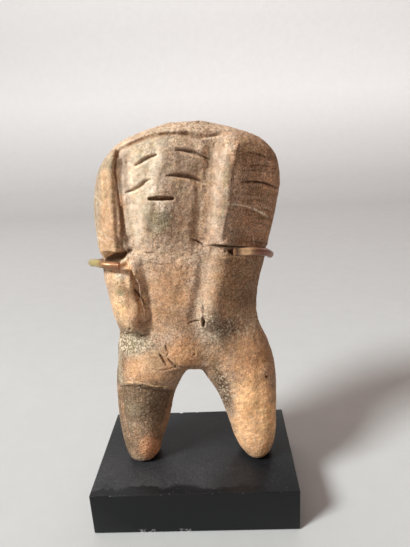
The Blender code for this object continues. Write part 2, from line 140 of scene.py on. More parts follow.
CUTS = {
    "left brow": Cut(
        ((134.5, 165.8), (139.0, 163.2), (144.5, 159.4), (150.0, 156.8), (157.0, 154.6)), 2.6, 0.75, 0.5),
    "right brow": Cut(
        ((175.2, 150.0), (183.0, 150.2), (192.5, 152.2), (200.5, 155.5), (209.0, 159.4)), 2.4, 0.6, 0.4),
    "left eye": Cut(
        ((126.2, 192.4), (133.6, 189.7), (140.3, 185.7), (144.3, 181.7), (150.6, 179.4)), 2.1, 0.65, 0.45),
    "right eye": Cut(
        ((166.5, 175.8), (176.4, 175.0), (187.1, 176.2), (195.2, 178.8), (204.2, 183.4)), 2.6, 0.75, 0.3),
    "mouth": Cut(((149.6, 198.9), (161.0, 198.4), (172.4, 198.6)), 2.2, 1.4, 0.9),
    "left eye, second try": Cut(((132.0, 194.6), (138.0, 194.4)), 0.9, 0.2, 0.6),
    "hair stroke, crown": Cut(((249.0, 150.5), (260.0, 154.0), (271.0, 160.5)), 1.0, 0.4, 0.4),
    "hair stroke, temple": Cut(((247.0, 165.6), (259.0, 165.0), (272.0, 166.6)), 1.0, 0.4, 0.4),
    "hair stroke, ear": Cut(
        ((243.0, 182.2), (252.0, 181.4), (261.0, 182.3), (269.0, 184.4), (278.0, 187.8)), 1.4, 0.6, 0.5),
    "hair stroke, cheek": Cut(
        ((229.0, 205.6), (240.0, 206.4), (250.0, 209.2), (262.0, 214.7), (268.5, 219.0)), 1.0, 0.15, 0.5),
    "hair stroke, jaw": Cut(((243.0, 231.4), (250.0, 230.6), (263.0, 231.0)), 0.9, 0.2, 0.4),
    "hair stroke, upright": Cut(((252.4, 234.0), (253.4, 239.0), (254.0, 244.0)), 0.9, 0.2, 0.4),
    "left hair stroke, upper": Cut(((96.0, 192.0), (100.5, 198.0), (105.5, 205.0)), 0.9, 0.2, 0.5),
    "left hair stroke, lower": Cut(((100.5, 233.5), (105.5, 236.5), (111.5, 240.5)), 0.9, 0.22, 0.5),
    "under the right hair": Cut(
        ((206.0, 245.4), (214.0, 245.6), (222.0, 246.0), (238.0, 246.8), (252.0, 247.4)), 1.9, 0.8, 0.3),
    "belly crack": Cut(((186.5, 324.6), (191.0, 322.2), (196.0, 320.8), (202.5, 321.0)), 1.0, 0.5, 0.3),
    "belly split": Cut(((202.4, 318.0), (203.4, 322.0), (203.8, 327.0)), 1.9, 1.2, 0.5),
    "belly split, upper": Cut(((203.4, 306.0), (202.8, 310.0), (203.2, 314.0)), 0.9, 0.35, 0.5),
    "mound crack, upper": Cut(
        ((166.4, 341.5), (165.7, 348.0), (167.9, 352.9), (165.9, 357.0)), 1.0, 0.5, 0.5),
    "mound crack, left": Cut(((159.8, 354.4), (162.9, 360.0), (166.0, 364.8)), 1.3, 0.9, 0.5),
    "mound crack, lower": Cut(((167.6, 359.0), (171.4, 362.9), (176.4, 367.2)), 1.3, 0.9, 0.5),
    "groin fold": Cut(
        ((152.0, 369.0), (160.0, 370.8), (168.0, 369.4), (176.0, 367.4), (186.0, 367.2), (198.0, 366.6)),
        1.3, 0.3, 0.3),
    "arm crack": Cut(((107.5, 281.0), (112.5, 279.2), (118.5, 280.4)), 0.8, 0.2, 0.3),
    "crack beside the left arm": Cut(
        ((133.0, 288.0), (138.0, 293.4), (142.4, 299.4), (145.2, 306.0)), 1.3, 0.6, 0.4),
    "chin crack": Cut(((190.0, 238.5), (196.0, 240.5), (201.5, 243.5), (204.5, 247.0)), 1.2, 0.5, 0.4),
    "chin crack, left": Cut(((139.0, 251.0), (147.0, 253.4), (155.0, 252.0)), 0.9, 0.35, 0.4),
    "chest crack": Cut(((150.0, 262.0), (157.0, 265.0), (166.0, 264.0)), 0.9, 0.3, 0.4),
    "hip crack": Cut(((124.0, 334.0), (133.0, 332.0), (142.0, 335.0), (150.0, 333.6)), 1.0, 0.35, 0.4),
    "thigh crack": Cut(((137.0, 386.4), (145.0, 385.6), (154.0, 388.4), (163.0, 387.0)), 1.1, 0.5, 0.4),
}

# The groove that frames the face: its path, half width and depth
GROOVE_PATH = (
    (123.4, 250.0), (121.4, 240.0), (121.6, 226.0), (119.6, 208.0), (117.6, 192.0), (115.4, 174.0),
    (115.2, 163.0), (116.4, 155.0), (120.0, 149.4), (131.0, 144.0), (142.0, 139.2), (152.6, 135.6),
    (165.0, 133.9), (180.0, 134.0), (188.0, 134.4), (196.0, 136.8), (208.6, 136.6),
    (222.0, 134.0), (233.0, 132.2),
)
GROOVE_HALF_WIDTH = 2.1
GROOVE_DEPTH = 0.45

# A drop in the surface on the viewer's right of a path that runs down the
# picture (above one that runs to the right): how wide the drop is, how deep,
# and how far off the surface has risen again, in pixels, millimetres, pixels
Ledge = namedtuple("Ledge", "path width depth reach")

LEDGES = {
    "left arm": Ledge(
        ((128.0, 270.0), (131.0, 283.0), (135.0, 296.0), (138.0, 310.0), (137.4, 322.0)), 2.0, 0.5, 6.0),
    "slab of the left arm": Ledge(
        ((137.4, 324.0), (138.0, 310.0), (135.0, 296.0), (131.0, 283.0), (128.0, 269.0)), 2.0, -0.35, 14.0),
    "step beside the left arm": Ledge(
        ((147.0, 322.0), (146.2, 311.0), (143.0, 300.0), (138.0, 291.0), (133.0, 285.0)), 2.0, 0.45, 9.0),
    "left hand": Ledge(((139.0, 318.0), (134.0, 327.0), (127.0, 331.5), (120.0, 331.0)), 3.0, 0.5, 9.0),
    "groove wedge": Ledge(((118.0, 205.0), (118.6, 216.0), (119.4, 228.0), (120.0, 240.0)), 2.6, 0.6, 7.0),
    "thigh slip": Ledge(
        ((176.0, 391.0), (160.0, 389.0), (146.0, 386.6), (132.0, 384.4), (117.0, 386.0)), 1.4, 0.4, 40.0),
    "under the right hair": Ledge(
        ((262.0, 247.6), (238.0, 246.6), (222.0, 245.8), (208.0, 245.0)), 1.6, 0.7, 13.0),
    "hair crest": Ledge(
        ((237.0, 141.0), (234.6, 157.0), (231.0, 170.0), (229.4, 190.0), (228.8, 204.0), (225.4, 217.0),
        (222.4, 232.0), (221.4, 244.0)), 4.0, 0.6, 44.0),
    "face keel": Ledge(
        ((163.0, 160.0), (158.0, 176.0), (154.0, 194.0), (149.0, 212.0), (145.0, 236.0)), 5.0, 0.3, 16.0),
}

# A low swelling: its path, how far it reaches on either side, and its height
Swell = namedtuple("Swell", "path reach height")

SWELLS = {
    "rim by the groove": Swell(
        ((116.0, 250.0), (114.0, 232.0), (112.4, 208.0), (111.0, 180.0), (111.4, 162.0), (115.0, 152.0)),
        4.6, 0.6),
    "face by the groove": Swell(((129.0, 232.0), (126.0, 206.0), (124.6, 180.0), (124.0, 160.0)), 6.0, 0.5),
    "filling of the groove": Swell(
        ((121.0, 236.0), (120.6, 222.0), (119.6, 206.0), (118.4, 190.0), (117.2, 176.0), (116.8, 160.0)),
        4.8, 0.75),
    "top of the left arm": Swell(((111.0, 280.0), (118.0, 277.0), (126.0, 272.0)), 8.0, 0.6),
    "edge of the left arm": Swell(((127.0, 272.0), (130.0, 288.0), (133.4, 302.0), (134.6, 316.0)), 5.4, 0.9),
    "chest by the left arm": Swell(
        ((134.5, 264.0), (137.5, 278.0), (141.0, 294.0), (142.5, 311.0)), 9.5, 1.5),
    "valley by the left arm": Swell(
        ((136.4, 272.0), (139.6, 288.0), (142.6, 302.0), (144.6, 315.0)), 7.0, 1.0),
    "below the left hand": Swell(((128.0, 334.0), (139.0, 331.0), (147.0, 324.0)), 8.0, 0.7),
    "belly by the right arm": Swell(
        ((195.0, 262.0), (194.0, 280.0), (190.0, 300.0), (187.0, 314.0)), 8.0, 0.5),
    "outside of the right leg": Swell(((267.0, 372.0), (270.0, 395.0), (268.0, 425.0)), 12.0, 0.45),
    "cheek by the right hair": Swell(
        ((202.0, 148.0), (202.0, 175.0), (203.0, 205.0), (201.0, 236.0)), 6.0, 0.4),
}

# A small pit or chip: its place, its radius in pixels and its depth
Pit = namedtuple("Pit", "place radius depth")

PITS = {
    "right thigh pore": Pit((266.0, 376.4), 1.9, 0.5),
    "mound pore": Pit((181.6, 346.6), 1.6, 0.35),
    "mound edge pore": Pit((194.6, 354.4), 1.9, 0.4),
    "belly hole": Pit((203.6, 323.4), 2.2, 0.6),
    "crown nick": Pit((198.5, 121.6), 1.9, 0.6),
    "hand pore": Pit((130.0, 328.8), 1.5, 0.35),
    "lock pore": Pit((201.6, 244.0), 1.6, 0.3),
    "cheek pore": Pit((134.8, 217.6), 1.3, 0.2),
    "crotch nick": Pit((184.6, 375.4), 1.9, 0.35),
    "right hook's seat": Pit((233.6, 252.0), 4.4, 1.0),
    "foot scratch": Pit((253.0, 440.0), 2.2, 0.2),
}

# A notch cut beside a hook: its path, half width in the middle, and depth
NOTCHES = {
    "left notch": Cut(
        ((100.0, 266.0), (107.0, 262.6), (114.0, 259.0), (121.0, 255.6), (125.0, 253.0)), 6.0, 1.9, 0.4),
    "end of the left notch": Cut(((122.0, 255.0), (127.0, 252.0), (134.0, 249.0)), 4.0, 0.5, 0.3),
    "right notch": Cut(((226.0, 251.4), (238.0, 251.6), (252.0, 252.2), (264.0, 253.6)), 4.4, 0.6, 0.5),
}

# Clay colours, as linear red, green and blue
TAN = (0.425, 0.285, 0.205)
ORANGE = (0.55, 0.35, 0.215)
PEACH = (0.74, 0.47, 0.28)
BRIGHT_ORANGE = (0.88, 0.50, 0.265)
FLAME = (0.92, 0.45, 0.25)
# Painted light, laid over a shaded dip in the middle of the left arm
PAINTED_LIGHT = (0.96, 0.64, 0.41)
PALE_CREAM = (0.79, 0.635, 0.50)
CREAM = (0.63, 0.475, 0.365)
DULL_CREAM = (0.51, 0.40, 0.295)
PINK_TAN = (0.575, 0.39, 0.28)
GREY_TAN = (0.305, 0.245, 0.185)
GREEN_GREY = (0.28, 0.22, 0.15)
BROWN = (0.39, 0.225, 0.13)
RED_BROWN = (0.48, 0.265, 0.165)
DARK_BROWN = (0.285, 0.17, 0.105)
RUST = (0.56, 0.27, 0.12)
SOOT = (0.14, 0.09, 0.055)
# Soil, also laid as painted shade in strokes, cracks and seats and under ledges
SOIL_AND_SHADE = (0.095, 0.055, 0.032)
CRUST = (0.66, 0.51, 0.37)

# The inside of a pore, and what warmer and greener clay multiplies a colour by
PORE = (0.16, 0.08, 0.045)
WARM_CAST = (1.0, 0.92, 0.84)
GREEN_CAST = (0.95, 0.985, 0.93)

# The bare brass, the stone's haze of dust with a painted sheen, and its dust
BRASS_BROWN = (0.32, 0.16, 0.08)
STONE_HAZE_AND_SHEEN = (0.046, 0.043, 0.041)
STONE_DUST = (0.22, 0.21, 0.2)
STONE_CAST = (0.95, 0.97, 1.12)

# A stain or patch of other clay, or a patch of painted light or shade: its middle,
# its reach across and down, its turn in degrees, its colour, how strong it is and how soft its edge
Patch = namedtuple("Patch", "place reach turn colour strength soft")

FRONT_PATCHES = {
    "top of the rim": Patch((178, 127), (70, 9), -4, TAN, 0.8, 0.4),
    "rim": Patch((106, 205), (12, 62), 0, ORANGE, 0.95, 0.35),
    "outer rim": Patch((96, 200), (5, 55), 0, GREY_TAN, 0.75, 0.5),
    "rim shoulder": Patch((104, 158), (14, 12), 35, GREY_TAN, 0.75, 0.5),
    "rim corner": Patch((122, 140), (16, 6), 25, TAN, 0.5, 0.5),
    "rim, low": Patch((108, 230), (9, 24), 0, RED_BROWN, 0.4, 0.5),
    "forehead": Patch((160, 152), (42, 18), -6, DULL_CREAM, 0.75, 0.5),
    "left cheek": Patch((131, 195), (13, 58), -4, CREAM, 0.95, 0.35),
    "cheek shade": Patch((143, 175), (8, 40), 4, DULL_CREAM, 0.6, 0.5),
    "nose ridge": Patch((155, 182), (7, 34), 8, PALE_CREAM, 0.8, 0.45),
    "right cheek": Patch((184, 195), (20, 52), 2, TAN, 0.85, 0.4),
    "right cheek, low": Patch((184, 224), (20, 24), 0, DARK_BROWN, 0.6, 0.5),
    "brow band": Patch((186, 152), (22, 13), 6, TAN, 0.55, 0.5),
    "under the mouth": Patch((157, 219), (12, 18), 6, GREEN_GREY, 0.95, 0.4),
    "mouth highlight": Patch((160, 207), (12, 5), 0, CREAM, 0.7, 0.5),
    "right of the cheek": Patch((203, 188), (6, 48), 2, PINK_TAN, 0.85, 0.5),
    # Pale clay with a painted highlight on the lit top of the lock
    "pale clay and painted highlight, top of the lock": Patch((219, 150), (12, 14), 14, PALE_CREAM, 0.8, 0.4),
    "lock facet": Patch((217, 190), (10, 66), 6, TAN, 1.0, 0.35),
    "lock facet, low": Patch((213, 230), (10, 20), 6, TAN, 0.8, 0.5),
    "right hair": Patch((256, 190), (24, 62), 0, RED_BROWN, 0.85, 0.3),
    "right hair edge": Patch((262, 148), (26, 16), 30, DARK_BROWN, 0.2, 0.5),
    "top of the right hair": Patch((250, 145), (14, 7), 20, PEACH, 0.45, 0.5),
    "hair stain": Patch((257, 193), (11, 10), 12, DARK_BROWN, 0.7, 0.5),
    "hair root": Patch((240, 186), (7, 22), 4, PINK_TAN, 0.5, 0.5),
    "chest": Patch((160, 265), (38, 18), 0, PINK_TAN, 0.7, 0.5),
    "belly blush": Patch((170, 290), (20, 30), 8, RUST, 0.5, 0.6),
    "left arm": Patch((121, 290), (15, 42), -14, PEACH, 0.95, 0.3),
    # Painted light over a shaded dip in the left arm
    "painted light, left arm middle": Patch((123, 287), (10, 14), -12, PAINTED_LIGHT, 1.0, 0.5),
    # Painted highlight on the top of the left arm
    "left arm top": Patch((121, 274), (6, 6), 0, PALE_CREAM, 0.9, 0.5),
    "outside of the left arm": Patch((108, 281), (5, 20), -8, TAN, 0.65, 0.6),
    # Painted shade on the shaded side of the left arm's lower end
    "painted shade, lower left arm": Patch((134, 307), (7, 15), -12, RED_BROWN, 0.7, 0.5),
    "low belly": Patch((147, 320), (15, 18), -10, BROWN, 0.45, 0.5),
    "middle belly": Patch((176, 318), (20, 16), 0, BROWN, 0.6, 0.5),
    "arm facet": Patch((205, 290), (9, 34), 6, PINK_TAN, 0.6, 0.4),
    "right arm": Patch((235, 290), (24, 40), 4, BROWN, 0.9, 0.35),
    "right arm outside": Patch((248, 284), (14, 34), 2, DARK_BROWN, 0.75, 0.5),
    "right forearm stain": Patch((226, 334), (14, 14), 0, SOIL_AND_SHADE, 0.9, 0.6),
    "waist": Patch((256, 322), (13, 16), 10, ORANGE, 0.6, 0.5),
    "belly dust": Patch((209, 328), (11, 18), -8, GREY_TAN, 0.4, 0.6),
    "left hip": Patch((131, 343), (17, 13), 0, GREEN_GREY, 1.0, 0.45),
    "left hip edge": Patch((121, 352), (6, 30), 0, SOOT, 0.6, 0.5),
    "left thigh": Patch((147, 371), (26, 14), 0, RUST, 0.55, 0.5),
    "thigh glow": Patch((152, 362), (16, 12), 0, ORANGE, 0.6, 0.5),
    "mound": Patch((184, 354), (20, 15), 0, RUST, 0.65, 0.5),
    "right groin": Patch((217, 362), (12, 20), -20, BROWN, 0.75, 0.5),
    "right hip": Patch((252, 352), (22, 22), 0, RUST, 0.6, 0.6),
    "inside the right hip": Patch((233, 350), (8, 13), -25, DARK_BROWN, 0.75, 0.5),
    "right thigh": Patch((252, 380), (20, 26), 0, RUST, 0.4, 0.5),
    # The right leg's orange clay, brightened with painted light where it faces the light
    "right leg": Patch((256, 415), (22, 40), 0, BRIGHT_ORANGE, 1.0, 0.4),
    "right foot": Patch((254, 447), (14, 9), 0, RUST, 0.35, 0.5),
    "inside the right leg": Patch((222, 388), (7, 24), -22, SOIL_AND_SHADE, 0.9, 0.5),
    "burnt leg": Patch((146, 404), (34, 22), 12, SOOT, 0.85, 0.2),
    "ash": Patch((133, 408), (9, 6), 10, GREEN_GREY, 0.5, 0.6),
    "left shin": Patch((146, 439), (25, 17), 0, DARK_BROWN, 0.85, 0.35),
    "left foot": Patch((151, 447), (10, 11), 0, FLAME, 0.85, 0.5),
    "left shin edge": Patch((124, 430), (8, 26), -8, SOOT, 0.85, 0.5),
}

# A thin streak of colour: its path, half width, colour and strength
Streak = namedtuple("Streak", "path half_width colour strength")

STREAKS = {
    # Painted highlights on the lit lower lips of the strokes
    "painted highlight, left brow's lip": Streak(((134.0, 168.8), (145.0, 162.4), (157.0, 157.2)), 1.3, PALE_CREAM, 0.5),
    "painted highlight, left eye's lip": Streak(((127.0, 195.4), (141.0, 189.4), (151.0, 182.4)), 1.3, PALE_CREAM, 0.6),
    "painted highlight, right eye's lip": Streak(((168.0, 179.8), (187.0, 180.4), (203.0, 187.4)), 1.6, PEACH, 0.6),
    "painted highlight, lower lip": Streak(((149.0, 202.6), (161.0, 202.2), (174.0, 202.2)), 1.8, PALE_CREAM, 0.7),
    "painted highlight, right brow's lip": Streak(((176.0, 153.4), (192.0, 155.6), (208.0, 162.6)), 1.3, PEACH, 0.4),
    "pale hair line": Streak(
        ((226.0, 204.6), (240.0, 205.0), (250.0, 207.6), (262.0, 213.0), (270.0, 218.0)), 1.1, PALE_CREAM,
        1.0),
    "pale line under the hair": Streak(((219.0, 258.0), (233.0, 256.6), (247.0, 258.0)), 1.6, PEACH, 0.7),
    "pale upper hair line": Streak(((243.0, 185.4), (256.0, 185.4), (276.0, 191.0)), 1.2, PEACH, 0.45),
    # Painted highlight along the lit top edge of the left arm
    "painted highlight along the top of the left arm": Streak(
        ((105.0, 272.0), (118.0, 264.0), (134.0, 252.0)), 2.0, PALE_CREAM, 0.8),
    # Painted light on the lit facet of the lock
    "painted light on the lock facet": Streak(
        ((226.0, 140.0), (222.0, 158.0), (218.0, 180.0), (216.0, 205.0), (213.0, 236.0)), 5.0, CREAM, 0.45),
    # Grey-green clay with painted shade near the crest of the lock
    "grey-green clay and painted shade by the crest": Streak(
        ((229.0, 150.0), (226.4, 168.0), (225.0, 190.0), (224.0, 206.0), (220.0, 226.0)), 3.0, GREEN_GREY,
        0.6),
    "dark lock edge": Streak(
        ((233.0, 160.0), (229.6, 172.0), (228.8, 190.0), (228.0, 204.0)), 2.0, SOOT, 0.6),
    # Painted shade in the valley between face and lock, and painted light on its lit side
    "painted shade in the valley": Streak(
        ((205.0, 240.0), (209.0, 200.0), (211.0, 172.0), (210.0, 156.0)), 1.4, DARK_BROWN, 0.5),
    "painted light beside the valley": Streak(((202.0, 236.0), (205.6, 205.0), (206.6, 190.0)), 1.2, PEACH, 0.5),
    # Soil and painted shade in the crack over the belly pit
    "over the belly pit": Streak(((202.4, 304.0), (203.6, 311.0), (203.0, 319.0)), 1.5, SOIL_AND_SHADE, 0.75),
    # Painted shade in the groove that frames the face, cast by the rim
    "painted shade in the groove, lower": Streak(
        ((119.2, 192.0), (121.2, 208.0), (122.2, 224.0), (121.2, 242.0)), 5.2, RED_BROWN, 0.8),
    "groove wedge": Streak(((119.6, 200.0), (121.2, 212.0), (122.2, 222.0), (121.0, 236.0)), 4.0, BROWN, 0.9),
    "painted shade in the groove, upper": Streak(
        ((119.0, 186.0), (115.8, 174.0), (114.8, 162.0), (116.0, 154.0), (120.0, 149.6)), 3.2, BROWN, 0.85),
    # Painted light over the arm's cast shadow on the chest beside the left arm
    "beside the left arm": Streak(
        ((136.0, 270.0), (138.6, 286.0), (141.6, 302.0), (143.4, 322.0)), 9.0, PEACH, 0.7),
    "inner edge of the burnt leg": Streak(
        ((174.0, 392.0), (170.0, 406.0), (166.0, 420.0), (162.0, 436.0)), 3.6, RED_BROWN, 0.6),
    "outer edge of the burnt leg": Streak(
        ((121.0, 392.0), (123.0, 410.0), (127.0, 428.0), (132.0, 444.0)), 2.2, RED_BROWN, 0.35),
    "shade over the arch": Streak(
        ((164.0, 374.0), (174.0, 372.0), (184.0, 368.0), (196.0, 366.6), (208.0, 368.4), (216.0, 376.0)),
        3.6, DARK_BROWN, 0.75),
    "left thigh edge": Streak(
        ((119.5, 336.0), (118.5, 352.0), (119.0, 368.0), (120.5, 388.0)), 5.0, GREY_TAN, 0.85),
    "left thigh edge, dark": Streak(
        ((117.5, 340.0), (116.6, 356.0), (117.0, 372.0), (118.5, 388.0)), 2.4, SOOT, 0.8),
    # Painted highlight on the slip's edge and painted shadow under it
    "painted highlight on the slip's edge": Streak(
        ((122.0, 382.6), (130.0, 382.0), (139.0, 382.6), (147.0, 384.6), (160.0, 386.8), (172.0, 386.0)),
        1.3, PEACH, 0.7),
    "painted shadow under the slip": Streak(
        ((120.0, 386.6), (132.0, 386.0), (146.0, 388.6), (160.0, 391.0), (175.0, 390.0)), 1.6, SOIL_AND_SHADE, 0.8),
    "burnt inside of the leg": Streak(
        ((175.0, 392.0), (172.0, 404.0), (168.0, 418.0), (163.0, 434.0)), 2.4, BROWN, 0.6),
    "pale jaw line": Streak(((243.0, 231.6), (254.0, 231.0), (269.0, 232.0)), 0.9, CREAM, 0.75),
    "pale upright line": Streak(((253.0, 232.0), (253.4, 238.0), (254.0, 244.0)), 0.9, CREAM, 0.75),
    "scratch on the left hair": Streak(((91.0, 193.0), (98.0, 199.0), (104.0, 206.0)), 1.4, CREAM, 0.6),
    "scratch low on the left hair": Streak(((97.0, 230.0), (105.0, 235.0), (113.0, 241.0)), 1.4, CREAM, 0.6),
    "scratch lower on the left hair": Streak(
        ((96.0, 237.0), (103.0, 240.0), (110.0, 246.0)), 1.2, CREAM, 0.5),
    # Painted shade in the groove below the rim
    "painted shade in the groove over the brow": Streak(
        ((120.0, 149.6), (131.0, 144.0), (142.0, 139.2), (152.6, 135.4), (165.0, 133.7), (180.0, 133.9),
        (188.0, 134.2), (196.0, 136.6), (208.6, 136.6)), 3.4, DARK_BROWN, 0.9),
    "painted shade at the groove's right end": Streak(((208.0, 136.4), (220.0, 134.2), (232.0, 132.6)), 1.8, BROWN, 0.7),
    "dark left edge": Streak(((93.0, 180.0), (91.5, 200.0), (93.0, 225.0)), 1.8, DARK_BROWN, 0.5),
}

# Tarnish on the wire, where the photograph shows it, with a painted highlight on the right hook and painted
# shade at the tips
BRASS_PATCHES = {
    "left bend": Patch((94, 263), (8, 8), 0, (0.46, 0.36, 0.14), 0.95, 0.5),
    "left hook": Patch((107, 264), (9, 7), 0, (0.34, 0.165, 0.085), 0.85, 0.5),
    # Tarnish with painted shade where the left tip sinks into its notch
    "left tip": Patch((119, 266), (5, 7), 0, (0.30, 0.13, 0.07), 0.9, 0.5),
    # Painted highlight on the right hook
    "right hook": Patch((246, 251), (9, 6), 0, (0.95, 0.60, 0.34), 1.0, 0.6),
    "right bend": Patch((264, 254), (10, 9), 0, (0.30, 0.12, 0.07), 1.0, 0.5),
    # Painted shade where the right tip sits in its hole
    "right tip": Patch((237, 252), (3, 7), 0, (0.09, 0.045, 0.03), 0.9, 0.5),
}

# Stains on the clay's back, with places in millimetres across and up
BACK_PATCHES = {
    "crown": Patch((0, 106), (26, 8), 0, PINK_TAN, 0.7, 0.5),
    "hair, left": Patch((-12, 94), (16, 14), 0, ORANGE, 0.6, 0.6),
    "hair, right": Patch((16, 93), (12, 16), 0, RED_BROWN, 0.8, 0.5),
    "hair stain": Patch((8, 88), (9, 6), 10, DARK_BROWN, 0.5, 0.6),
    "right side": Patch((20, 66), (12, 16), 0, BROWN, 0.8, 0.5),
    "back": Patch((-4, 66), (13, 12), 0, PINK_TAN, 0.6, 0.6),
    "waist": Patch((2, 56), (22, 4), 0, GREY_TAN, 0.5, 0.6),
    "left buttock": Patch((-11, 48), (9, 8), 0, ORANGE, 0.5, 0.6),
    "right buttock": Patch((13, 47), (10, 8), 0, RUST, 0.5, 0.6),
    "right leg": Patch((16, 27), (10, 16), 0, BRIGHT_ORANGE, 0.8, 0.5),
    "burnt leg": Patch((-14, 30), (14, 8), 0, SOOT, 0.9, 0.3),
    "left foot": Patch((-13, 18), (8, 6), 0, RED_BROWN, 0.7, 0.5),
}

# Where pale crust clings in grains; these and the next three have no colour
CRUST_PATCHES = {
    "crown": Patch((184, 126), (62, 8), -2, None, 0.75, 0.6),
    "left hip": Patch((134, 343), (20, 12), 0, None, 1.0, 0.5),
    "under the belly": Patch((207, 326), (11, 20), -8, None, 1.0, 0.6),
    "waist": Patch((240, 325), (20, 14), 0, None, 0.5, 0.6),
    "burnt leg": Patch((138, 428), (18, 12), 0, None, 0.25, 0.6),
    "left cheek": Patch((134, 225), (12, 24), 0, None, 0.5, 0.6),
    "chin": Patch((170, 252), (40, 10), 0, None, 0.45, 0.6),
    "crotch": Patch((226, 392), (8, 22), -20, None, 0.6, 0.6),
    "right foot": Patch((252, 436), (14, 16), 0, None, 0.4, 0.6),
}

# Where the clay is wiped smooth; the strength is how much grit it lacks
SMOOTH_PATCHES = {
    "left cheek": Patch((134, 190), (18, 60), -4, None, 0.75, 0.4),
    "nose ridge": Patch((155, 170), (12, 40), 6, None, 0.6, 0.5),
    "left rim": Patch((104, 205), (12, 60), 0, None, 0.6, 0.4),
    "right cheek": Patch((186, 190), (20, 52), 0, None, 0.35, 0.5),
    "lock": Patch((217, 190), (12, 66), 4, None, 0.6, 0.4),
    "left arm": Patch((121, 290), (15, 42), -14, None, 0.4, 0.4),
    "arm facet": Patch((210, 285), (10, 34), 6, None, 0.4, 0.5),
    "belly": Patch((168, 298), (28, 34), 0, None, 0.35, 0.5),
    "right hip": Patch((250, 358), (22, 22), 0, None, 0.45, 0.5),
    "right leg": Patch((254, 410), (24, 44), 0, None, 0.6, 0.5),
    "thigh": Patch((150, 368), (24, 14), 0, None, 0.45, 0.5),
    "mound": Patch((184, 352), (20, 14), 0, None, 0.35, 0.5),
}

# Where less soil and painted shade is left in the strokes
WIPED_FACE = Patch((166, 174), (52, 40), 0, None, 0.45, 0.3)

# Where the clay's surface is crumbly
COARSE_PATCHES = {
    "crown": Patch((190, 127), (60, 8), 0, None, 0.8, 0.5),
    "under the mouth": Patch((165, 224), (18, 18), 0, None, 0.6, 0.5),
    "chin": Patch((172, 250), (48, 12), 0, None, 1.0, 0.5),
    "chest": Patch((165, 270), (34, 16), 0, None, 0.5, 0.5),
    "left hip": Patch((134, 342), (20, 12), 0, None, 1.0, 0.5),
    "belly by the arm": Patch((206, 330), (16, 16), 0, None, 1.0, 0.5),
    "waist": Patch((238, 325), (14, 12), 0, None, 0.6, 0.5),
    "burnt leg": Patch((146, 405), (30, 22), 0, None, 0.8, 0.5),
    "crotch": Patch((224, 390), (9, 24), -20, None, 0.8, 0.5),
}

# How freely triangles are taken from the front, against 1 behind
FRONT_THINNING = 0.3

# The lines scratched across the right hair: their reach and their number
SCRATCH_LEFT, SCRATCH_RIGHT = (236.0, 252.0), (262.0, 280.0)
SCRATCH_TOP, SCRATCH_BOTTOM, SCRATCHES = 140.0, 243.0, 44


def camera_axes():
    """Forward, right and up of the photograph's camera."""
    forward = Vector((math.sin(CAMERA_TURN) * math.cos(CAMERA_DIP),
                      math.cos(CAMERA_TURN) * math.cos(CAMERA_DIP), -math.sin(CAMERA_DIP)))
    level_right = forward.cross(UP).normalized()
    level_up = level_right.cross(forward)
    right = level_right * math.cos(CAMERA_ROLL) - level_up * math.sin(CAMERA_ROLL)
    up = level_up * math.cos(CAMERA_ROLL) + level_right * math.sin(CAMERA_ROLL)
    return forward, right, up


def in_photo(places):
    """The pixel of the photograph that each place falls on."""
    forward, right, up = (np.array(axis) for axis in camera_axes())
    away = places - np.array(CAMERA_PLACE)
    depth = away @ forward
    return np.stack([PHOTO_WIDTH / 2 + FOCAL_PIXELS * (away @ right) / depth,
                     PHOTO_HEIGHT / 2 - FOCAL_PIXELS * (away @ up) / depth], axis=1)


def toward_camera(places, normals):
    """How squarely each place faces the camera, from -1 to 1."""
    away = places - np.array(CAMERA_PLACE)
    away /= np.linalg.norm(away, axis=1)[:, None]
    return -(away * normals).sum(axis=1)


def smooth_step(low, high, value):
    """0 below low, 1 above high, and a soft rise between."""
    share = np.clip((value - low) / (high - low), 0.0, 1.0)
    return share * share * (3.0 - 2.0 * share)


def smooth_path(points, per_span=4):
    """Points along a smooth curve through the given ones (Catmull-Rom)."""
    knots = [np.array(p, dtype=float) for p in points]
    knots = [2 * knots[0] - knots[1]] + knots + [2 * knots[-1] - knots[-2]]
    line = []
    for a, b, c, d in zip(knots, knots[1:], knots[2:], knots[3:]):
        for step in range(per_span):
            t = step / per_span
            line.append(0.5 * (2 * b + (c - a) * t + (2 * a - 5 * b + 4 * c - d) * t * t
                               + (3 * b - a - 3 * c + d) * t ** 3))
    return np.array(line + [knots[-2]])


def measure_path(spots, path):
    """Distance of each spot to a path, its side (above 0 on the right of a
    path that runs down), and its share of the way along."""
    distance = np.full(len(spots), np.inf)
    side = np.zeros(len(spots))
    along = np.zeros(len(spots))
    line = smooth_path(path)
    runs = np.diff(line, axis=0)
    lengths = np.linalg.norm(runs, axis=1)
    before = np.concatenate([[0.0], np.cumsum(lengths)])
    for start, run, length, passed in zip(line, runs, lengths, before):
        away = spots - start
        share = np.clip(away @ run / length ** 2, 0.0, 1.0)
        here = np.linalg.norm(away - share[:, None] * run, axis=1)
        nearer = here < distance
        distance[nearer] = here[nearer]
        side[nearer] = (run[1] * away[:, 0] - run[0] * away[:, 1])[nearer] / length
        along[nearer] = (passed + share * length)[nearer] / before[-1]
    return distance, side, along


def grain(places, size, seed, octaves=2, stretch=(1.0, 1.0, 1.0)):
    """Smooth noise from -1 to 1 at each place, with lumps of about one size."""
    scaled = places / size / np.array(stretch) + seed * 17.3
    return np.array([noise.fractal(spot, 1.0, 2.0, octaves) for spot in scaled.tolist()])


def ragged_edges(places):
    """The unevenness of stains' and cuts' edges."""
    return 0.22 * grain(places, 4.0 * MM, 11) + 0.16 * grain(places, 1.3 * MM, 12)


def read_vectors(mesh, kind):
    """The vertices' places ("co") or normals ("normal") as an array."""
    flat = np.empty(len(mesh.vertices) * 3)
    mesh.vertices.foreach_get(kind, flat)
    return flat.reshape(-1, 3)


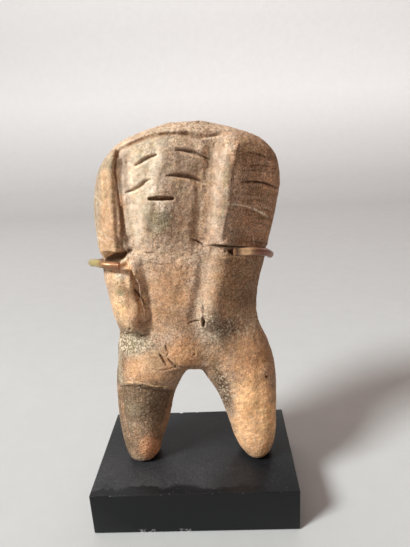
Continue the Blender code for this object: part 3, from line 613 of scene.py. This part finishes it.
def write_colours(mesh, name, colours):
    """Keep a colour for each vertex as an attribute."""
    layer = mesh.attributes.new(name, "FLOAT_COLOR", "POINT")
    rgba = np.ones((len(colours), 4))
    rgba[:, :colours.shape[1]] = colours
    layer.data.foreach_set("color", rgba.ravel())


def new_piece(name, mesh, node):
    """An object for a finished mesh that stands for a node of the frame."""
    piece = bpy.data.objects.new(name, mesh)
    bpy.context.scene.collection.objects.link(piece)
    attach(piece, "root")
    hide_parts(node)
    return piece


def merged_copy(node):
    """A welded copy of a node's mesh, as an object of its own."""
    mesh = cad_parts[node].data.copy()
    edit = bmesh.new()
    edit.from_mesh(mesh)
    bmesh.ops.remove_doubles(edit, verts=edit.verts, dist=0.002 * MM)
    edit.to_mesh(mesh)
    edit.free()
    mesh.materials.clear()
    copy = bpy.data.objects.new(node + "_copy", mesh)
    bpy.context.scene.collection.objects.link(copy)
    return copy


def apply_modifiers(thing):
    """Turn an object's modified shape into its own mesh."""
    depsgraph = bpy.context.evaluated_depsgraph_get()
    mesh = bpy.data.meshes.new_from_object(thing.evaluated_get(depsgraph))
    thing.modifiers.clear()
    thing.data = mesh
    return mesh


def fine_mesh(node, settings):
    """The node's form as an even, fine and smooth mesh."""
    copy = merged_copy(node)
    remesh = copy.modifiers.new("even", "REMESH")
    remesh.mode = "VOXEL"
    remesh.voxel_size = settings.voxel
    smooth = copy.modifiers.new("wiped", "SMOOTH")
    smooth.factor = 0.5
    smooth.iterations = settings.smooth_passes
    mesh = apply_modifiers(copy)
    bpy.data.objects.remove(copy)
    return mesh


def cut_depth(spots, cut, ragged):
    """How deep a cut goes at each spot, in millimetres, between ragged edges."""
    distance, _, along = measure_path(spots, cut.path)
    ends = np.minimum(along, 1.0 - along) * 2.0
    width = cut.half_width * (cut.taper + (1.0 - cut.taper) * np.sqrt(np.clip(ends * 1.6, 0.0, 1.0)))
    across = distance / width * (1.0 + 0.6 * ragged)
    trough = cut.depth * (1.0 - smooth_step(0.15, 1.0, across)) * width / cut.half_width
    burr = 0.1 * cut.depth * np.exp(-((across - 1.35) / 0.3) ** 2)
    return trough - burr


def mark_relief(spots, ragged, settings):
    """How far strokes, notches and pits lie below the front, in millimetres."""
    sunk = np.zeros(len(spots))
    for cut in CUTS.values():
        sunk += cut_depth(spots, cut, ragged) * settings.cut_depth
    for notch in NOTCHES.values():
        sunk += cut_depth(spots, notch, ragged)
    for pit in PITS.values():
        away = np.linalg.norm(spots - np.array(pit.place), axis=1)
        sunk += pit.depth * (1.0 - smooth_step(0.2, 1.0, away / pit.radius))
    return sunk


def form_relief(spots, ragged):
    """How far groove, ledges and swellings lie below the front, in millimetres."""
    distance, _, along = measure_path(spots, GROOVE_PATH)
    across = distance / GROOVE_HALF_WIDTH * (1.0 + 0.8 * ragged)
    sunk = GROOVE_DEPTH * (1.0 - smooth_step(0.1, 1.0, across)) * (1.0 - smooth_step(0.9, 1.0, along))
    for ledge in LEDGES.values():
        distance, side, along = measure_path(spots, ledge.path)
        drop = smooth_step(0.0, ledge.width, side)
        drop = drop * (1.0 - smooth_step(0.25 * ledge.reach, ledge.reach, distance))
        ends = smooth_step(0.0, 0.08, along) * (1.0 - smooth_step(0.92, 1.0, along))
        sunk += ledge.depth * drop * ends
    for swell in SWELLS.values():
        distance, _, _ = measure_path(spots, swell.path)
        sunk -= swell.height * (1.0 - smooth_step(0.0, 1.0, distance / swell.reach))
    return sunk


def clay_grain(places, coarse):
    """The small unevenness of gritty clay, more where it is coarse, in millimetres."""
    lumps = 0.16 * grain(places, 7.0 * MM, 1)
    dents = 0.07 * grain(places, 2.2 * MM, 2)
    streaks = 0.05 * grain(places, 1.0 * MM, 3, 2, (0.8, 1.0, 7.0)) * smooth_step(0.078, 0.086, places[:, 2])
    grit = 0.07 * grain(places, 0.75 * MM, 4)
    crumbs = 0.17 * grain(places, 1.1 * MM, 5) * coarse
    return lumps + dents + streaks + grit + crumbs


def work_clay(mesh, settings):
    """Cut, dent and roughen the clay."""
    places = read_vectors(mesh, "co")
    normals = read_vectors(mesh, "normal")
    spots = in_photo(places)
    facing = toward_camera(places, normals)
    ragged = ragged_edges(places)
    sunk = mark_relief(spots, ragged, settings) + form_relief(spots, ragged)
    sunk *= smooth_step(0.02, 0.3, facing)
    coarse = np.zeros(len(places))
    for patch in COARSE_PATCHES.values():
        coarse = np.maximum(coarse, patch_share(spots, patch, ragged))
    raised = clay_grain(places, coarse * smooth_step(0.02, 0.3, facing)) - sunk
    places += normals * raised[:, None] * MM
    mesh.vertices.foreach_set("co", places.ravel())
    mesh.update()
    return mesh


def thinned(mesh, most):
    """The mesh with its triangles brought under a number, more so behind."""
    thing = bpy.data.objects.new("thinning", mesh)
    bpy.context.scene.collection.objects.link(thing)
    group = thing.vertex_groups.new(name="behind")
    facing = toward_camera(read_vectors(mesh, "co"), read_vectors(mesh, "normal"))
    behind = np.flatnonzero(facing < 0.0)
    group.add(np.flatnonzero(facing >= 0.0).tolist(), FRONT_THINNING, "REPLACE")
    group.add(behind.tolist(), 1.0, "REPLACE")
    thin = thing.modifiers.new("thin", "DECIMATE")
    thin.vertex_group = group.name
    thin.ratio = min(1.0, most / (2.0 * len(mesh.polygons)))
    mesh = apply_modifiers(thing)
    bpy.data.objects.remove(thing)
    return mesh


def patch_share(spots, patch, ragged):
    """How strongly a patch covers each spot, with a ragged edge."""
    turn = math.radians(patch.turn)
    across, down = (spots - np.array(patch.place)).T
    u = (across * math.cos(turn) + down * math.sin(turn)) / patch.reach[0]
    v = (down * math.cos(turn) - across * math.sin(turn)) / patch.reach[1]
    reach = np.hypot(u, v) + ragged
    return patch.strength * (1.0 - smooth_step(1.0 - patch.soft, 1.0 + patch.soft, reach))


def paint_over(colours, patches, spots, where, ragged):
    """Lay patches of colour over one another where they show."""
    for patch in patches.values():
        share = (patch_share(spots, patch, ragged) * where)[:, None]
        colours += share * (np.array(patch.colour) - colours)


def hair_scratches():
    """Thin light and dark lines across the hair on the viewer's right."""
    chance = random.Random(5)
    made = []
    for _ in range(SCRATCHES):
        left, right = chance.uniform(*SCRATCH_LEFT), chance.uniform(*SCRATCH_RIGHT)
        height = chance.uniform(SCRATCH_TOP, SCRATCH_BOTTOM)
        sag = chance.uniform(-1.0, 2.0)
        path = ((left, height), ((left + right) / 2, height + sag), (right, height + 2.5 * sag + 2.0))
        colour = chance.choice((PINK_TAN, DARK_BROWN, SOOT))
        made.append(Streak(path, chance.uniform(0.6, 1.1), colour, chance.uniform(0.3, 0.65)))
    return made


def paint_clay(mesh, settings):
    """Colour each vertex of the clay with its stains, painted highlights and painted shade, and mark soil
    with painted shade, and crust.
    """
    places = read_vectors(mesh, "co")
    normals = read_vectors(mesh, "normal")
    spots = in_photo(places)
    facing = toward_camera(places, normals)
    in_front = smooth_step(-0.15, 0.2, facing)
    ragged = ragged_edges(places)
    colours = np.tile(np.array(settings.clay_colour), (len(places), 1))
    paint_over(colours, BACK_PATCHES, places[:, (0, 2)] / MM, 1.0 - in_front, ragged)
    paint_over(colours, FRONT_PATCHES, spots, in_front, ragged)
    for streak in hair_scratches() + list(STREAKS.values()):
        distance, _, along = measure_path(spots, streak.path)
        ends = smooth_step(0.0, 0.15, along) * (1.0 - smooth_step(0.85, 1.0, along))
        across = distance / streak.half_width + 0.8 * ragged
        share = streak.strength * ends * (1.0 - smooth_step(0.3, 1.0, across))
        colours += (share * in_front)[:, None] * (np.array(streak.colour) - colours)
    mottle = 1.0 + 0.2 * grain(places, 5.0 * MM, 13) + 0.22 * grain(places, 1.2 * MM, 14)
    colours *= mottle[:, None]
    # Soil with painted shade, darker the deeper a stroke, notch or pit is cut
    soil_and_shade = smooth_step(0.12, 0.55, mark_relief(spots, ragged, settings)) * in_front
    soil_and_shade *= 1.0 - patch_share(spots, WIPED_FACE, ragged)
    crust = np.zeros(len(places))
    for patch in CRUST_PATCHES.values():
        crust = np.maximum(crust, patch_share(spots, patch, ragged) * in_front)
    write_colours(mesh, "clay_colour", np.clip(colours, 0.02, 0.96))
    grit = np.ones(len(places))
    for patch in SMOOTH_PATCHES.values():
        grit = np.minimum(grit, 1.0 - patch_share(spots, patch, ragged) * in_front)
    write_colours(mesh, "clay_marks", np.stack([soil_and_shade, crust, grit], axis=1))


def new_material(name):
    """A node material and its Principled shader."""
    made = bpy.data.materials.new(name)
    made.use_nodes = True
    return made, made.node_tree.nodes["Principled BSDF"]


def add_node(tree, kind, **values):
    """A node with some of its properties set."""
    node = tree.nodes.new(kind)
    for name, value in values.items():
        setattr(node, name, value)
    return node


def noise_node(tree, size, detail, roughness=0.6):
    """Noise over the piece's own coordinates, with lumps of about one size."""
    coordinates = add_node(tree, "ShaderNodeTexCoord")
    noisy = add_node(tree, "ShaderNodeTexNoise")
    noisy.inputs["Scale"].default_value = 1.0 / size
    noisy.inputs["Detail"].default_value = detail
    noisy.inputs["Roughness"].default_value = roughness
    tree.links.new(coordinates.outputs["Object"], noisy.inputs["Vector"])
    return noisy.outputs["Fac"]


def range_node(tree, value, low, high, to_low, to_high):
    """A value mapped from one range to another and held there."""
    mapped = add_node(tree, "ShaderNodeMapRange")
    tree.links.new(value, mapped.inputs["Value"])
    for name, number in zip(("From Min", "From Max", "To Min", "To Max"), (low, high, to_low, to_high)):
        mapped.inputs[name].default_value = number
    return mapped.outputs["Result"]


def math_node(tree, operation, first, second):
    """Arithmetic on two values, of which the second may be a number."""
    node = add_node(tree, "ShaderNodeMath", operation=operation)
    tree.links.new(first, node.inputs[0])
    if isinstance(second, float):
        node.inputs[1].default_value = second
    else:
        tree.links.new(second, node.inputs[1])
    return node.outputs["Value"]


def mix_node(tree, blend, share, first, second):
    """Two colours blended; the share may be a number and the second a colour."""
    node = add_node(tree, "ShaderNodeMix", data_type="RGBA", blend_type=blend)
    fac, a, b = node.inputs["Factor"], node.inputs["A"], node.inputs["B"]
    for socket in node.inputs:
        if socket.type == "RGBA" and socket.name == "A":
            a = socket
        if socket.type == "RGBA" and socket.name == "B":
            b = socket
        if socket.type == "VALUE" and socket.name == "Factor":
            fac = socket
    if isinstance(share, float):
        fac.default_value = share
    else:
        tree.links.new(share, fac)
    tree.links.new(first, a)
    if isinstance(second, tuple):
        b.default_value = (*second, 1.0)
    else:
        tree.links.new(second, b)
    return next(socket for socket in node.outputs if socket.type == "RGBA")


def grey_node(tree, value):
    """A value as a grey colour."""
    node = add_node(tree, "ShaderNodeCombineColor")
    for name in ("Red", "Green", "Blue"):
        tree.links.new(value, node.inputs[name])
    return node.outputs["Color"]


def clay_material(settings):
    """Unglazed fired clay, gritty, with soil and painted shade in its marks and pale crust."""
    made, shader = new_material("fired_clay")
    tree = made.node_tree
    paint = add_node(tree, "ShaderNodeAttribute", attribute_name="clay_colour")
    marks = add_node(tree, "ShaderNodeAttribute", attribute_name="clay_marks")
    split = add_node(tree, "ShaderNodeSeparateColor")
    tree.links.new(marks.outputs["Color"], split.inputs["Color"])
    grit = range_node(tree, noise_node(tree, 0.4 * MM, 2.0), 0.34, 0.66, 0.54, 1.42)
    dust = range_node(tree, noise_node(tree, 1.4 * MM, 3.0), 0.3, 0.7, 0.8, 1.19)
    gritty = split.outputs["Blue"]
    colour = mix_node(tree, "MULTIPLY", gritty, paint.outputs["Color"], grey_node(tree, grit))
    colour = mix_node(tree, "MULTIPLY", 1.0, colour, grey_node(tree, dust))
    hue = range_node(tree, noise_node(tree, 2.2 * MM, 4.0), 0.4, 0.6, 0.0, 1.0)
    colour = mix_node(tree, "MULTIPLY", hue, colour, WARM_CAST)
    cool = range_node(tree, noise_node(tree, 3.4 * MM, 4.0), 0.48, 0.64, 0.0, 1.0)
    colour = mix_node(tree, "MULTIPLY", cool, colour, GREEN_CAST)
    pores = range_node(tree, noise_node(tree, 0.62 * MM, 1.0), 0.62, 0.68, 0.0, 0.75)
    colour = mix_node(tree, "MIX", math_node(tree, "MULTIPLY", pores, gritty), colour, PORE)
    flecks = range_node(tree, noise_node(tree, 0.5 * MM, 1.5), 0.65, 0.7, 0.0, 0.55)
    colour = mix_node(tree, "MIX", math_node(tree, "MULTIPLY", flecks, gritty), colour, CRUST)
    grains = range_node(tree, noise_node(tree, 0.6 * MM, 2.0), 0.5, 0.6, 0.0, 1.0)
    crust = math_node(tree, "MULTIPLY", grains, split.outputs["Green"])
    colour = mix_node(tree, "MIX", crust, colour, CRUST)
    # Soil and painted shade in the strokes, notches and pits
    colour = mix_node(tree, "MIX", split.outputs["Red"], colour, SOIL_AND_SHADE)
    tree.links.new(colour, shader.inputs["Base Color"])
    bump = add_node(tree, "ShaderNodeBump")
    bump.inputs["Strength"].default_value = 1.0
    bump.inputs["Distance"].default_value = 0.16 * MM
    rough = math_node(tree, "ADD", noise_node(tree, 0.5 * MM, 3.0), noise_node(tree, 1.4 * MM, 2.0))
    tree.links.new(rough, bump.inputs["Height"])
    tree.links.new(bump.outputs["Normal"], shader.inputs["Normal"])
    shader.inputs["Roughness"].default_value = 0.92
    shader.inputs["Specular IOR Level"].default_value = 0.2
    return made


class ClaySettings(bpy.types.PropertyGroup):
    """Sizes and colours of the clay figure."""

    voxel: FloatProperty(name="Mesh size", description="Size of the clay's fine mesh", default=0.28 * MM,
                         unit="LENGTH")
    smooth_passes: IntProperty(name="Wiping", description="How often the fine mesh is smoothed", default=20)
    triangles: IntProperty(name="Triangles", description="Most triangles on the clay", default=185000)
    cut_depth: FloatProperty(name="Cut depth", description="Strength of the incised lines", default=1.0,
                             subtype="FACTOR")
    clay_colour: FloatVectorProperty(name="Clay", description="Colour of the bare clay", default=TAN,
                                     subtype="COLOR")


class StageSettings(bpy.types.PropertyGroup):
    """The floor, the light and the camera."""

    floor_colour: FloatVectorProperty(name="Floor", description="Colour of the floor",
                                      default=(0.435, 0.424, 0.424), subtype="COLOR")
    window_power: FloatProperty(name="Window", description="Power of the window light", default=115.0,
                                unit="POWER")
    window_size: FloatProperty(name="Window size", description="Width of the window light", default=0.72,
                               unit="LENGTH")
    ceiling_power: FloatProperty(name="Ceiling", description="Power of the light from above", default=2.2,
                                 unit="POWER")
    wash_power: FloatProperty(name="Wall wash", description="Power of the light on the backdrop", default=4.8,
                              unit="POWER")
    room_light: FloatProperty(name="Room", description="Strength of the light from all around", default=0.17)


class FIGURINE_OT_clay(bpy.types.Operator):
    """Work the clay figure over its solid"""

    bl_idname = "figurine.clay"
    bl_label = "Clay figure"

    def execute(self, context):
        """Model and paint the clay."""
        settings = context.scene.figurine_clay
        mesh = work_clay(fine_mesh("figurine", settings), settings)
        mesh = thinned(mesh, settings.triangles)
        paint_clay(mesh, settings)
        mesh.name = "clay_figure"
        mesh.shade_smooth()
        mesh.materials.clear()
        mesh.materials.append(clay_material(settings))
        new_piece("clay_figure", mesh, "figurine")
        return {"FINISHED"}


def tube(name, points, radius):
    """A wire of one thickness through points in millimetres, with filed ends."""
    curve = bpy.data.curves.new(name, "CURVE")
    curve.dimensions = "3D"
    curve.bevel_depth = radius * MM
    curve.bevel_resolution = 7
    curve.use_fill_caps = True
    spline = curve.splines.new("POLY")
    line = smooth_path(points, 6) * MM
    spline.points.add(len(line) - 1)
    for knot, place in zip(spline.points, line):
        knot.co = (*place, 1.0)
    guide = bpy.data.objects.new(name, curve)
    bpy.context.scene.collection.objects.link(guide)
    bpy.context.view_layer.update()
    mesh = bpy.data.meshes.new_from_object(guide.evaluated_get(bpy.context.evaluated_depsgraph_get()))
    bpy.data.objects.remove(guide)
    edit = bmesh.new()
    edit.from_mesh(mesh)
    bmesh.ops.remove_doubles(edit, verts=edit.verts, dist=0.005 * MM)
    caps = [face for face in edit.faces if len(face.verts) > 4]
    rims = list({edge for face in caps for edge in face.edges})
    bmesh.ops.bevel(edit, geom=rims, offset=WIRE_END_ROUNDING * MM, segments=3, profile=0.5,
                    affect="EDGES", material=-1)
    bmesh.ops.recalc_face_normals(edit, faces=edit.faces)
    edit.to_mesh(mesh)
    edit.free()
    made = bpy.data.objects.new(name, mesh)
    bpy.context.scene.collection.objects.link(made)
    return made


def join_or_cut(thing, other, operation):
    """Join a closed helper to a thing, or cut it away, and remove the helper."""
    change = thing.modifiers.new("change", "BOOLEAN")
    change.operation = operation
    change.solver = "EXACT"
    change.object = other
    apply_modifiers(thing)
    bpy.data.objects.remove(other)


def ball(name, place, radius, rough=0.0, seed=0):
    """A ball, or a rough lump, at a place in millimetres."""
    edit = bmesh.new()
    bmesh.ops.create_icosphere(edit, subdivisions=2 if rough else 4, radius=radius * MM)
    for vert in edit.verts:
        vert.co *= 1.0 + rough * noise.noise(vert.co / (radius * MM) + Vector((seed, 0.0, 0.0)))
    bmesh.ops.translate(edit, verts=edit.verts, vec=Vector(place) * MM)
    mesh = bpy.data.meshes.new(name)
    edit.to_mesh(mesh)
    edit.free()
    made = bpy.data.objects.new(name, mesh)
    bpy.context.scene.collection.objects.link(made)
    return made


def brass_material():
    """Old brass with specks of tarnish over its painted stains, painted highlight and painted shade."""
    made, shader = new_material("brass")
    tree = made.node_tree
    paint = add_node(tree, "ShaderNodeAttribute", attribute_name="brass_colour")
    specks = range_node(tree, noise_node(tree, 0.35 * MM, 2.0), 0.3, 0.7, 0.72, 1.2)
    clouds = range_node(tree, noise_node(tree, 1.6 * MM, 3.0), 0.3, 0.7, 0.75, 1.2)
    colour = mix_node(tree, "MULTIPLY", 1.0, paint.outputs["Color"], grey_node(tree, specks))
    colour = mix_node(tree, "MULTIPLY", 1.0, colour, grey_node(tree, clouds))
    tree.links.new(colour, shader.inputs["Base Color"])
    tree.links.new(range_node(tree, noise_node(tree, 1.2 * MM, 3.0), 0.3, 0.7, 0.32, 0.5),
                   shader.inputs["Roughness"])
    shader.inputs["Metallic"].default_value = 0.6
    return made


def mark_chips(mesh):
    """Tell the broken faces of the block from the polished ones."""
    layer = mesh.attributes.new("chipped", "FLOAT", "FACE")
    for face, mark in zip(mesh.polygons, layer.data):
        for place, size in CHIPS:
            if (face.center - Vector(place) * MM).length < 1.3 * size * MM:
                mark.value = 1.0 if place[1] > 0.0 else 0.1


def stone_material():
    """Black polished stone, hazy with dust and a painted sheen on top except along its front edge; the
    painted sheen fades towards the back and the viewer's right.
    """
    made, shader = new_material("black_stone")
    tree = made.node_tree
    coordinates = add_node(tree, "ShaderNodeTexCoord")
    parts = add_node(tree, "ShaderNodeSeparateXYZ")
    tree.links.new(coordinates.outputs["Object"], parts.inputs["Vector"])
    wave = range_node(tree, noise_node(tree, 7.0 * MM, 3.0), 0.3, 0.7, -2.2 * MM, 2.2 * MM)
    back = math_node(tree, "ADD", parts.outputs["Y"], wave)
    off_edge = range_node(tree, back, -17.6 * MM, -16.6 * MM, 0.12, 1.0)
    on_top = range_node(tree, parts.outputs["Z"], 13.0 * MM, 13.25 * MM, 0.0, 1.0)
    cloud = range_node(tree, noise_node(tree, 9.0 * MM, 5.0), 0.3, 0.7, 0.55, 1.0)
    fine = range_node(tree, noise_node(tree, 0.5 * MM, 2.0), 0.35, 0.7, 0.5, 1.1)
    # Painted light: the haze's sheen fades towards the viewer's right and the back, as painted shade
    lit = range_node(tree, parts.outputs["X"], 2.0 * MM, 24.0 * MM, 1.0, 0.0)
    lit = math_node(tree, "MULTIPLY", lit,
                    range_node(tree, parts.outputs["Y"], -10.0 * MM, 8.0 * MM, 1.15, 0.15))
    haze_and_sheen = math_node(tree, "MULTIPLY", math_node(tree, "MULTIPLY", off_edge, on_top),
                     math_node(tree, "MULTIPLY", cloud, fine))
    haze_and_sheen = math_node(tree, "MULTIPLY", haze_and_sheen, lit)
    colour = mix_node(tree, "MIX", haze_and_sheen, grey_node(tree, range_node(tree, fine, 0.0, 1.0, 0.005, 0.009)),
                      STONE_HAZE_AND_SHEEN)
    colour = mix_node(tree, "MULTIPLY", 1.0, colour, STONE_CAST)
    specks = range_node(tree, noise_node(tree, 0.42 * MM, 0.0), 0.77, 0.82, 0.0, 0.2)
    colour = mix_node(tree, "MIX", math_node(tree, "MULTIPLY", specks, on_top), colour, STONE_DUST)
    chipped = add_node(tree, "ShaderNodeAttribute", attribute_name="chipped")
    colour = mix_node(tree, "MIX", chipped.outputs["Fac"], colour, STONE_DUST)
    low_front = math_node(tree, "MULTIPLY",
                          range_node(tree, parts.outputs["Z"], 0.7 * MM, 1.3 * MM, 1.0, 0.0),
                          range_node(tree, parts.outputs["Y"], -19.9 * MM, -19.6 * MM, 1.0, 0.0))
    ragged = range_node(tree, noise_node(tree, 0.7 * MM, 2.0), 0.46, 0.54, 0.0, 1.0)
    for left, right in SCUFFS:
        inside = math_node(tree, "MULTIPLY",
                           range_node(tree, parts.outputs["X"], (left - 0.4) * MM, left * MM, 0.0, 1.0),
                           range_node(tree, parts.outputs["X"], right * MM, (right + 0.4) * MM, 1.0, 0.0))
        scuff = math_node(tree, "MULTIPLY", math_node(tree, "MULTIPLY", inside, low_front), ragged)
        colour = mix_node(tree, "MIX", scuff, colour, STONE_DUST)
    tree.links.new(colour, shader.inputs["Base Color"])
    tree.links.new(range_node(tree, haze_and_sheen, 0.0, 1.0, 0.3, 0.45), shader.inputs["Roughness"])
    shader.inputs["Specular IOR Level"].default_value = 0.22
    return made


class FIGURINE_OT_block(bpy.types.Operator):
    """Make the black block with its bored hole and chipped edges"""

    bl_idname = "figurine.block"
    bl_label = "Black block"

    def execute(self, context):
        """Model the block."""
        edit = bmesh.new()
        bmesh.ops.create_cube(edit, size=1.0)
        bmesh.ops.scale(edit, verts=edit.verts, vec=BLOCK_SIZE)
        bmesh.ops.translate(edit, verts=edit.verts, vec=(0.0, 0.0, BLOCK_SIZE.z / 2))
        bmesh.ops.bevel(edit, geom=edit.edges, offset=BLOCK_EDGE, segments=3, profile=0.5,
                        affect="EDGES", material=-1)
        mesh = bpy.data.meshes.new("black_block")
        edit.to_mesh(mesh)
        edit.free()
        block = new_piece("black_block", mesh, "plinth")
        bore = ((*ROD_PLACE, ROD_FOOT - 0.3), (*ROD_PLACE, 10.0), (*ROD_PLACE, 16.0))
        hole = tube("hole", bore, ROD_HOLE_RADIUS)
        join_or_cut(block, hole, "DIFFERENCE")
        for seed, (place, size) in enumerate(CHIPS):
            join_or_cut(block, ball("chip", place, size, 0.5, seed), "DIFFERENCE")
        mark_chips(block.data)
        block.data.shade_smooth()
        block.data.set_sharp_from_angle(angle=math.radians(35))
        block.data.materials.clear()
        block.data.materials.append(stone_material())
        return {"FINISHED"}


class FIGURINE_OT_brass(bpy.types.Operator):
    """Make the brass rod and the cross wire with its hooks"""

    bl_idname = "figurine.brass"
    bl_label = "Brass mount"

    def execute(self, context):
        """Model the mount."""
        wire = tube("brass_wire", WIRE_LINE, WIRE_RADIUS)
        middle = (ROD_FOOT + ROD_TOP) / 2
        rod = tube("rod", ((*ROD_PLACE, ROD_FOOT), (*ROD_PLACE, middle), (*ROD_PLACE, ROD_TOP)), ROD_RADIUS)
        join_or_cut(wire, rod, "UNION")
        join_or_cut(wire, ball("bead", BEAD_PLACE, BEAD_RADIUS), "UNION")
        places = read_vectors(wire.data, "co")
        normals = read_vectors(wire.data, "normal")
        places += normals * (0.035 * MM * grain(places, 1.8 * MM, 21))[:, None]
        wire.data.vertices.foreach_set("co", places.ravel())
        colours = np.tile(np.array(BRASS_BROWN), (len(places), 1))
        paint_over(colours, BRASS_PATCHES, in_photo(places), np.ones(len(places)), ragged_edges(places))
        write_colours(wire.data, "brass_colour", colours)
        wire.data.update()
        wire.data.shade_smooth()
        wire.data.set_sharp_from_angle(angle=math.radians(50))
        wire.data.materials.clear()
        wire.data.materials.append(brass_material())
        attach(wire, "root")
        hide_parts("brass_mount")
        return {"FINISHED"}


def backdrop():
    """A floor that sweeps up into a wall, far behind the object."""
    profile = [(PAPER_FRONT, 0.0), (PAPER_RISE, 0.0)]
    for step in range(1, BEND_FACETS + 1):
        turn = math.pi / 2 * step / BEND_FACETS
        profile.append((PAPER_RISE + PAPER_BEND * math.sin(turn), PAPER_BEND * (1.0 - math.cos(turn))))
    profile.append((PAPER_RISE + PAPER_BEND, PAPER_TOP))
    edit = bmesh.new()
    line = [edit.verts.new((-PAPER_HALF_WIDTH, y, z - PAPER_BELOW)) for y, z in profile]
    edges = [edit.edges.new(pair) for pair in zip(line, line[1:])]
    swept = bmesh.ops.extrude_edge_only(edit, edges=edges)["geom"]
    moved = [part for part in swept if isinstance(part, bmesh.types.BMVert)]
    bmesh.ops.translate(edit, verts=moved, vec=(2 * PAPER_HALF_WIDTH, 0.0, 0.0))
    bmesh.ops.recalc_face_normals(edit, faces=edit.faces)
    mesh = bpy.data.meshes.new("backdrop")
    edit.to_mesh(mesh)
    edit.free()
    mesh.shade_smooth()
    floor = bpy.data.objects.new("backdrop", mesh)
    bpy.context.scene.collection.objects.link(floor)
    return floor


def area_light(name, toward, distance, size, power, target):
    """A soft round light that looks at the target from a direction."""
    data = bpy.data.lights.new(name, "AREA")
    data.shape = "DISK"
    data.size = size
    data.energy = power
    light = bpy.data.objects.new(name, data)
    light.location = target + Vector(toward).normalized() * distance
    light.rotation_euler = (target - light.location).to_track_quat("-Z", "Y").to_euler()
    bpy.context.scene.collection.objects.link(light)
    return light


def photo_camera():
    """The camera of the photograph."""
    forward, right, up = camera_axes()
    data = bpy.data.cameras.new("camera")
    data.sensor_width = SENSOR_LONG_SIDE
    data.lens = FOCAL_PIXELS / PHOTO_HEIGHT * SENSOR_LONG_SIDE
    data.clip_start = 0.005
    camera = bpy.data.objects.new("camera", data)
    turned = Matrix((right, up, -forward)).transposed().to_4x4()
    camera.matrix_world = Matrix.Translation(CAMERA_PLACE) @ turned
    bpy.context.scene.collection.objects.link(camera)
    bpy.context.scene.camera = camera


def paper_material(settings):
    """Pale paper, with painted shade where it bends up into the wall and painted light higher up and far back
    on the right.
    """
    made, shader = new_material("paper")
    tree = made.node_tree
    coordinates = tree.nodes.new("ShaderNodeTexCoord")
    along = tree.nodes.new("ShaderNodeVectorMath")
    along.operation = "DOT_PRODUCT"
    along.inputs[1].default_value = (0.0, 1.0, 1.0)
    ramp = tree.nodes.new("ShaderNodeValToRGB")
    tree.links.new(coordinates.outputs["Object"], along.inputs[0])
    tree.links.new(along.outputs["Value"], ramp.inputs["Fac"])
    while len(ramp.color_ramp.elements) < len(PAPER_PAINTED_SHADING):
        ramp.color_ramp.elements.new(0.5)
    red, green, blue = settings.floor_colour
    for stop, (place, tone, cool) in zip(ramp.color_ramp.elements, PAPER_PAINTED_SHADING):
        stop.position = place
        stop.color = (red * tone, green * tone * cool, blue * tone * cool, 1.0)
    parts = add_node(tree, "ShaderNodeSeparateXYZ")
    tree.links.new(coordinates.outputs["Object"], parts.inputs["Vector"])
    painted_side_light = range_node(tree, parts.outputs["X"], -0.4, 0.4, *PAPER_PAINTED_SIDE_LIGHT)
    far = range_node(tree, along.outputs["Value"], 0.35, 0.95, 0.0, 1.0)
    tone = mix_node(tree, "MULTIPLY", far, ramp.outputs["Color"], grey_node(tree, painted_side_light))
    uneven = range_node(tree, noise_node(tree, 12.0 * MM, 5.0, 0.75), 0.3, 0.7, 0.975, 1.025)
    tone = mix_node(tree, "MULTIPLY", 1.0, tone, grey_node(tree, uneven))
    tree.links.new(tone, shader.inputs["Base Color"])
    shader.inputs["Roughness"].default_value = 0.95
    return made


class FIGURINE_OT_stage(bpy.types.Operator):
    """Set the floor, the light and the camera"""

    bl_idname = "figurine.stage"
    bl_label = "Stage"

    def execute(self, context):
        """Make the stage."""
        settings = context.scene.figurine_stage
        floor = backdrop()
        floor.data.materials.append(paper_material(settings))
        window = area_light("window", WINDOW_TOWARD, WINDOW_DISTANCE, settings.window_size,
                            settings.window_power, LIT_PLACE)
        window.data.color = DAYLIGHT
        ceiling = area_light("ceiling", CEILING_TOWARD, CEILING_DISTANCE, CEILING_SIZE,
                             settings.ceiling_power, LIT_PLACE)
        ceiling.data.color = LAMPLIGHT
        area_light("wall_wash", WASH_TOWARD, WASH_DISTANCE, WASH_SIZE, settings.wash_power, WASHED_PLACE)
        world = bpy.data.worlds.new("room")
        world.use_nodes = True
        world.node_tree.nodes["Background"].inputs["Color"].default_value = (*LAMPLIGHT, 1.0)
        world.node_tree.nodes["Background"].inputs["Strength"].default_value = settings.room_light
        context.scene.world = world
        context.scene.view_settings.view_transform = "Standard"
        photo_camera()
        return {"FINISHED"}


class FIGURINE_PT_panel(bpy.types.Panel):
    """The figurine's steps and settings"""

    bl_label = "Figurine"
    bl_idname = "FIGURINE_PT_panel"
    bl_space_type = "VIEW_3D"
    bl_region_type = "UI"
    bl_category = "Figurine"

    def draw(self, context):
        """List the steps and the settings."""
        for step in STEPS:
            self.layout.operator(step)
        for group in (context.scene.figurine_clay, context.scene.figurine_stage):
            for name in group.__annotations__:
                self.layout.prop(group, name)


STEPS = ("figurine.stage", "figurine.clay", "figurine.block", "figurine.brass")
CLASSES = (ClaySettings, StageSettings, FIGURINE_OT_stage, FIGURINE_OT_clay, FIGURINE_OT_block,
           FIGURINE_OT_brass, FIGURINE_PT_panel)


def register():
    """Add the classes and the settings."""
    for cls in CLASSES:
        bpy.utils.register_class(cls)
    bpy.types.Scene.figurine_clay = PointerProperty(type=ClaySettings)
    bpy.types.Scene.figurine_stage = PointerProperty(type=StageSettings)


def unregister():
    """Take them away again."""
    del bpy.types.Scene.figurine_stage
    del bpy.types.Scene.figurine_clay
    for cls in reversed(CLASSES):
        bpy.utils.unregister_class(cls)


def main():
    """Make every piece."""
    register()
    bpy.ops.figurine.stage()
    bpy.ops.figurine.clay()
    bpy.ops.figurine.block()
    bpy.ops.figurine.brass()


if __name__ == "__main__":
    main()
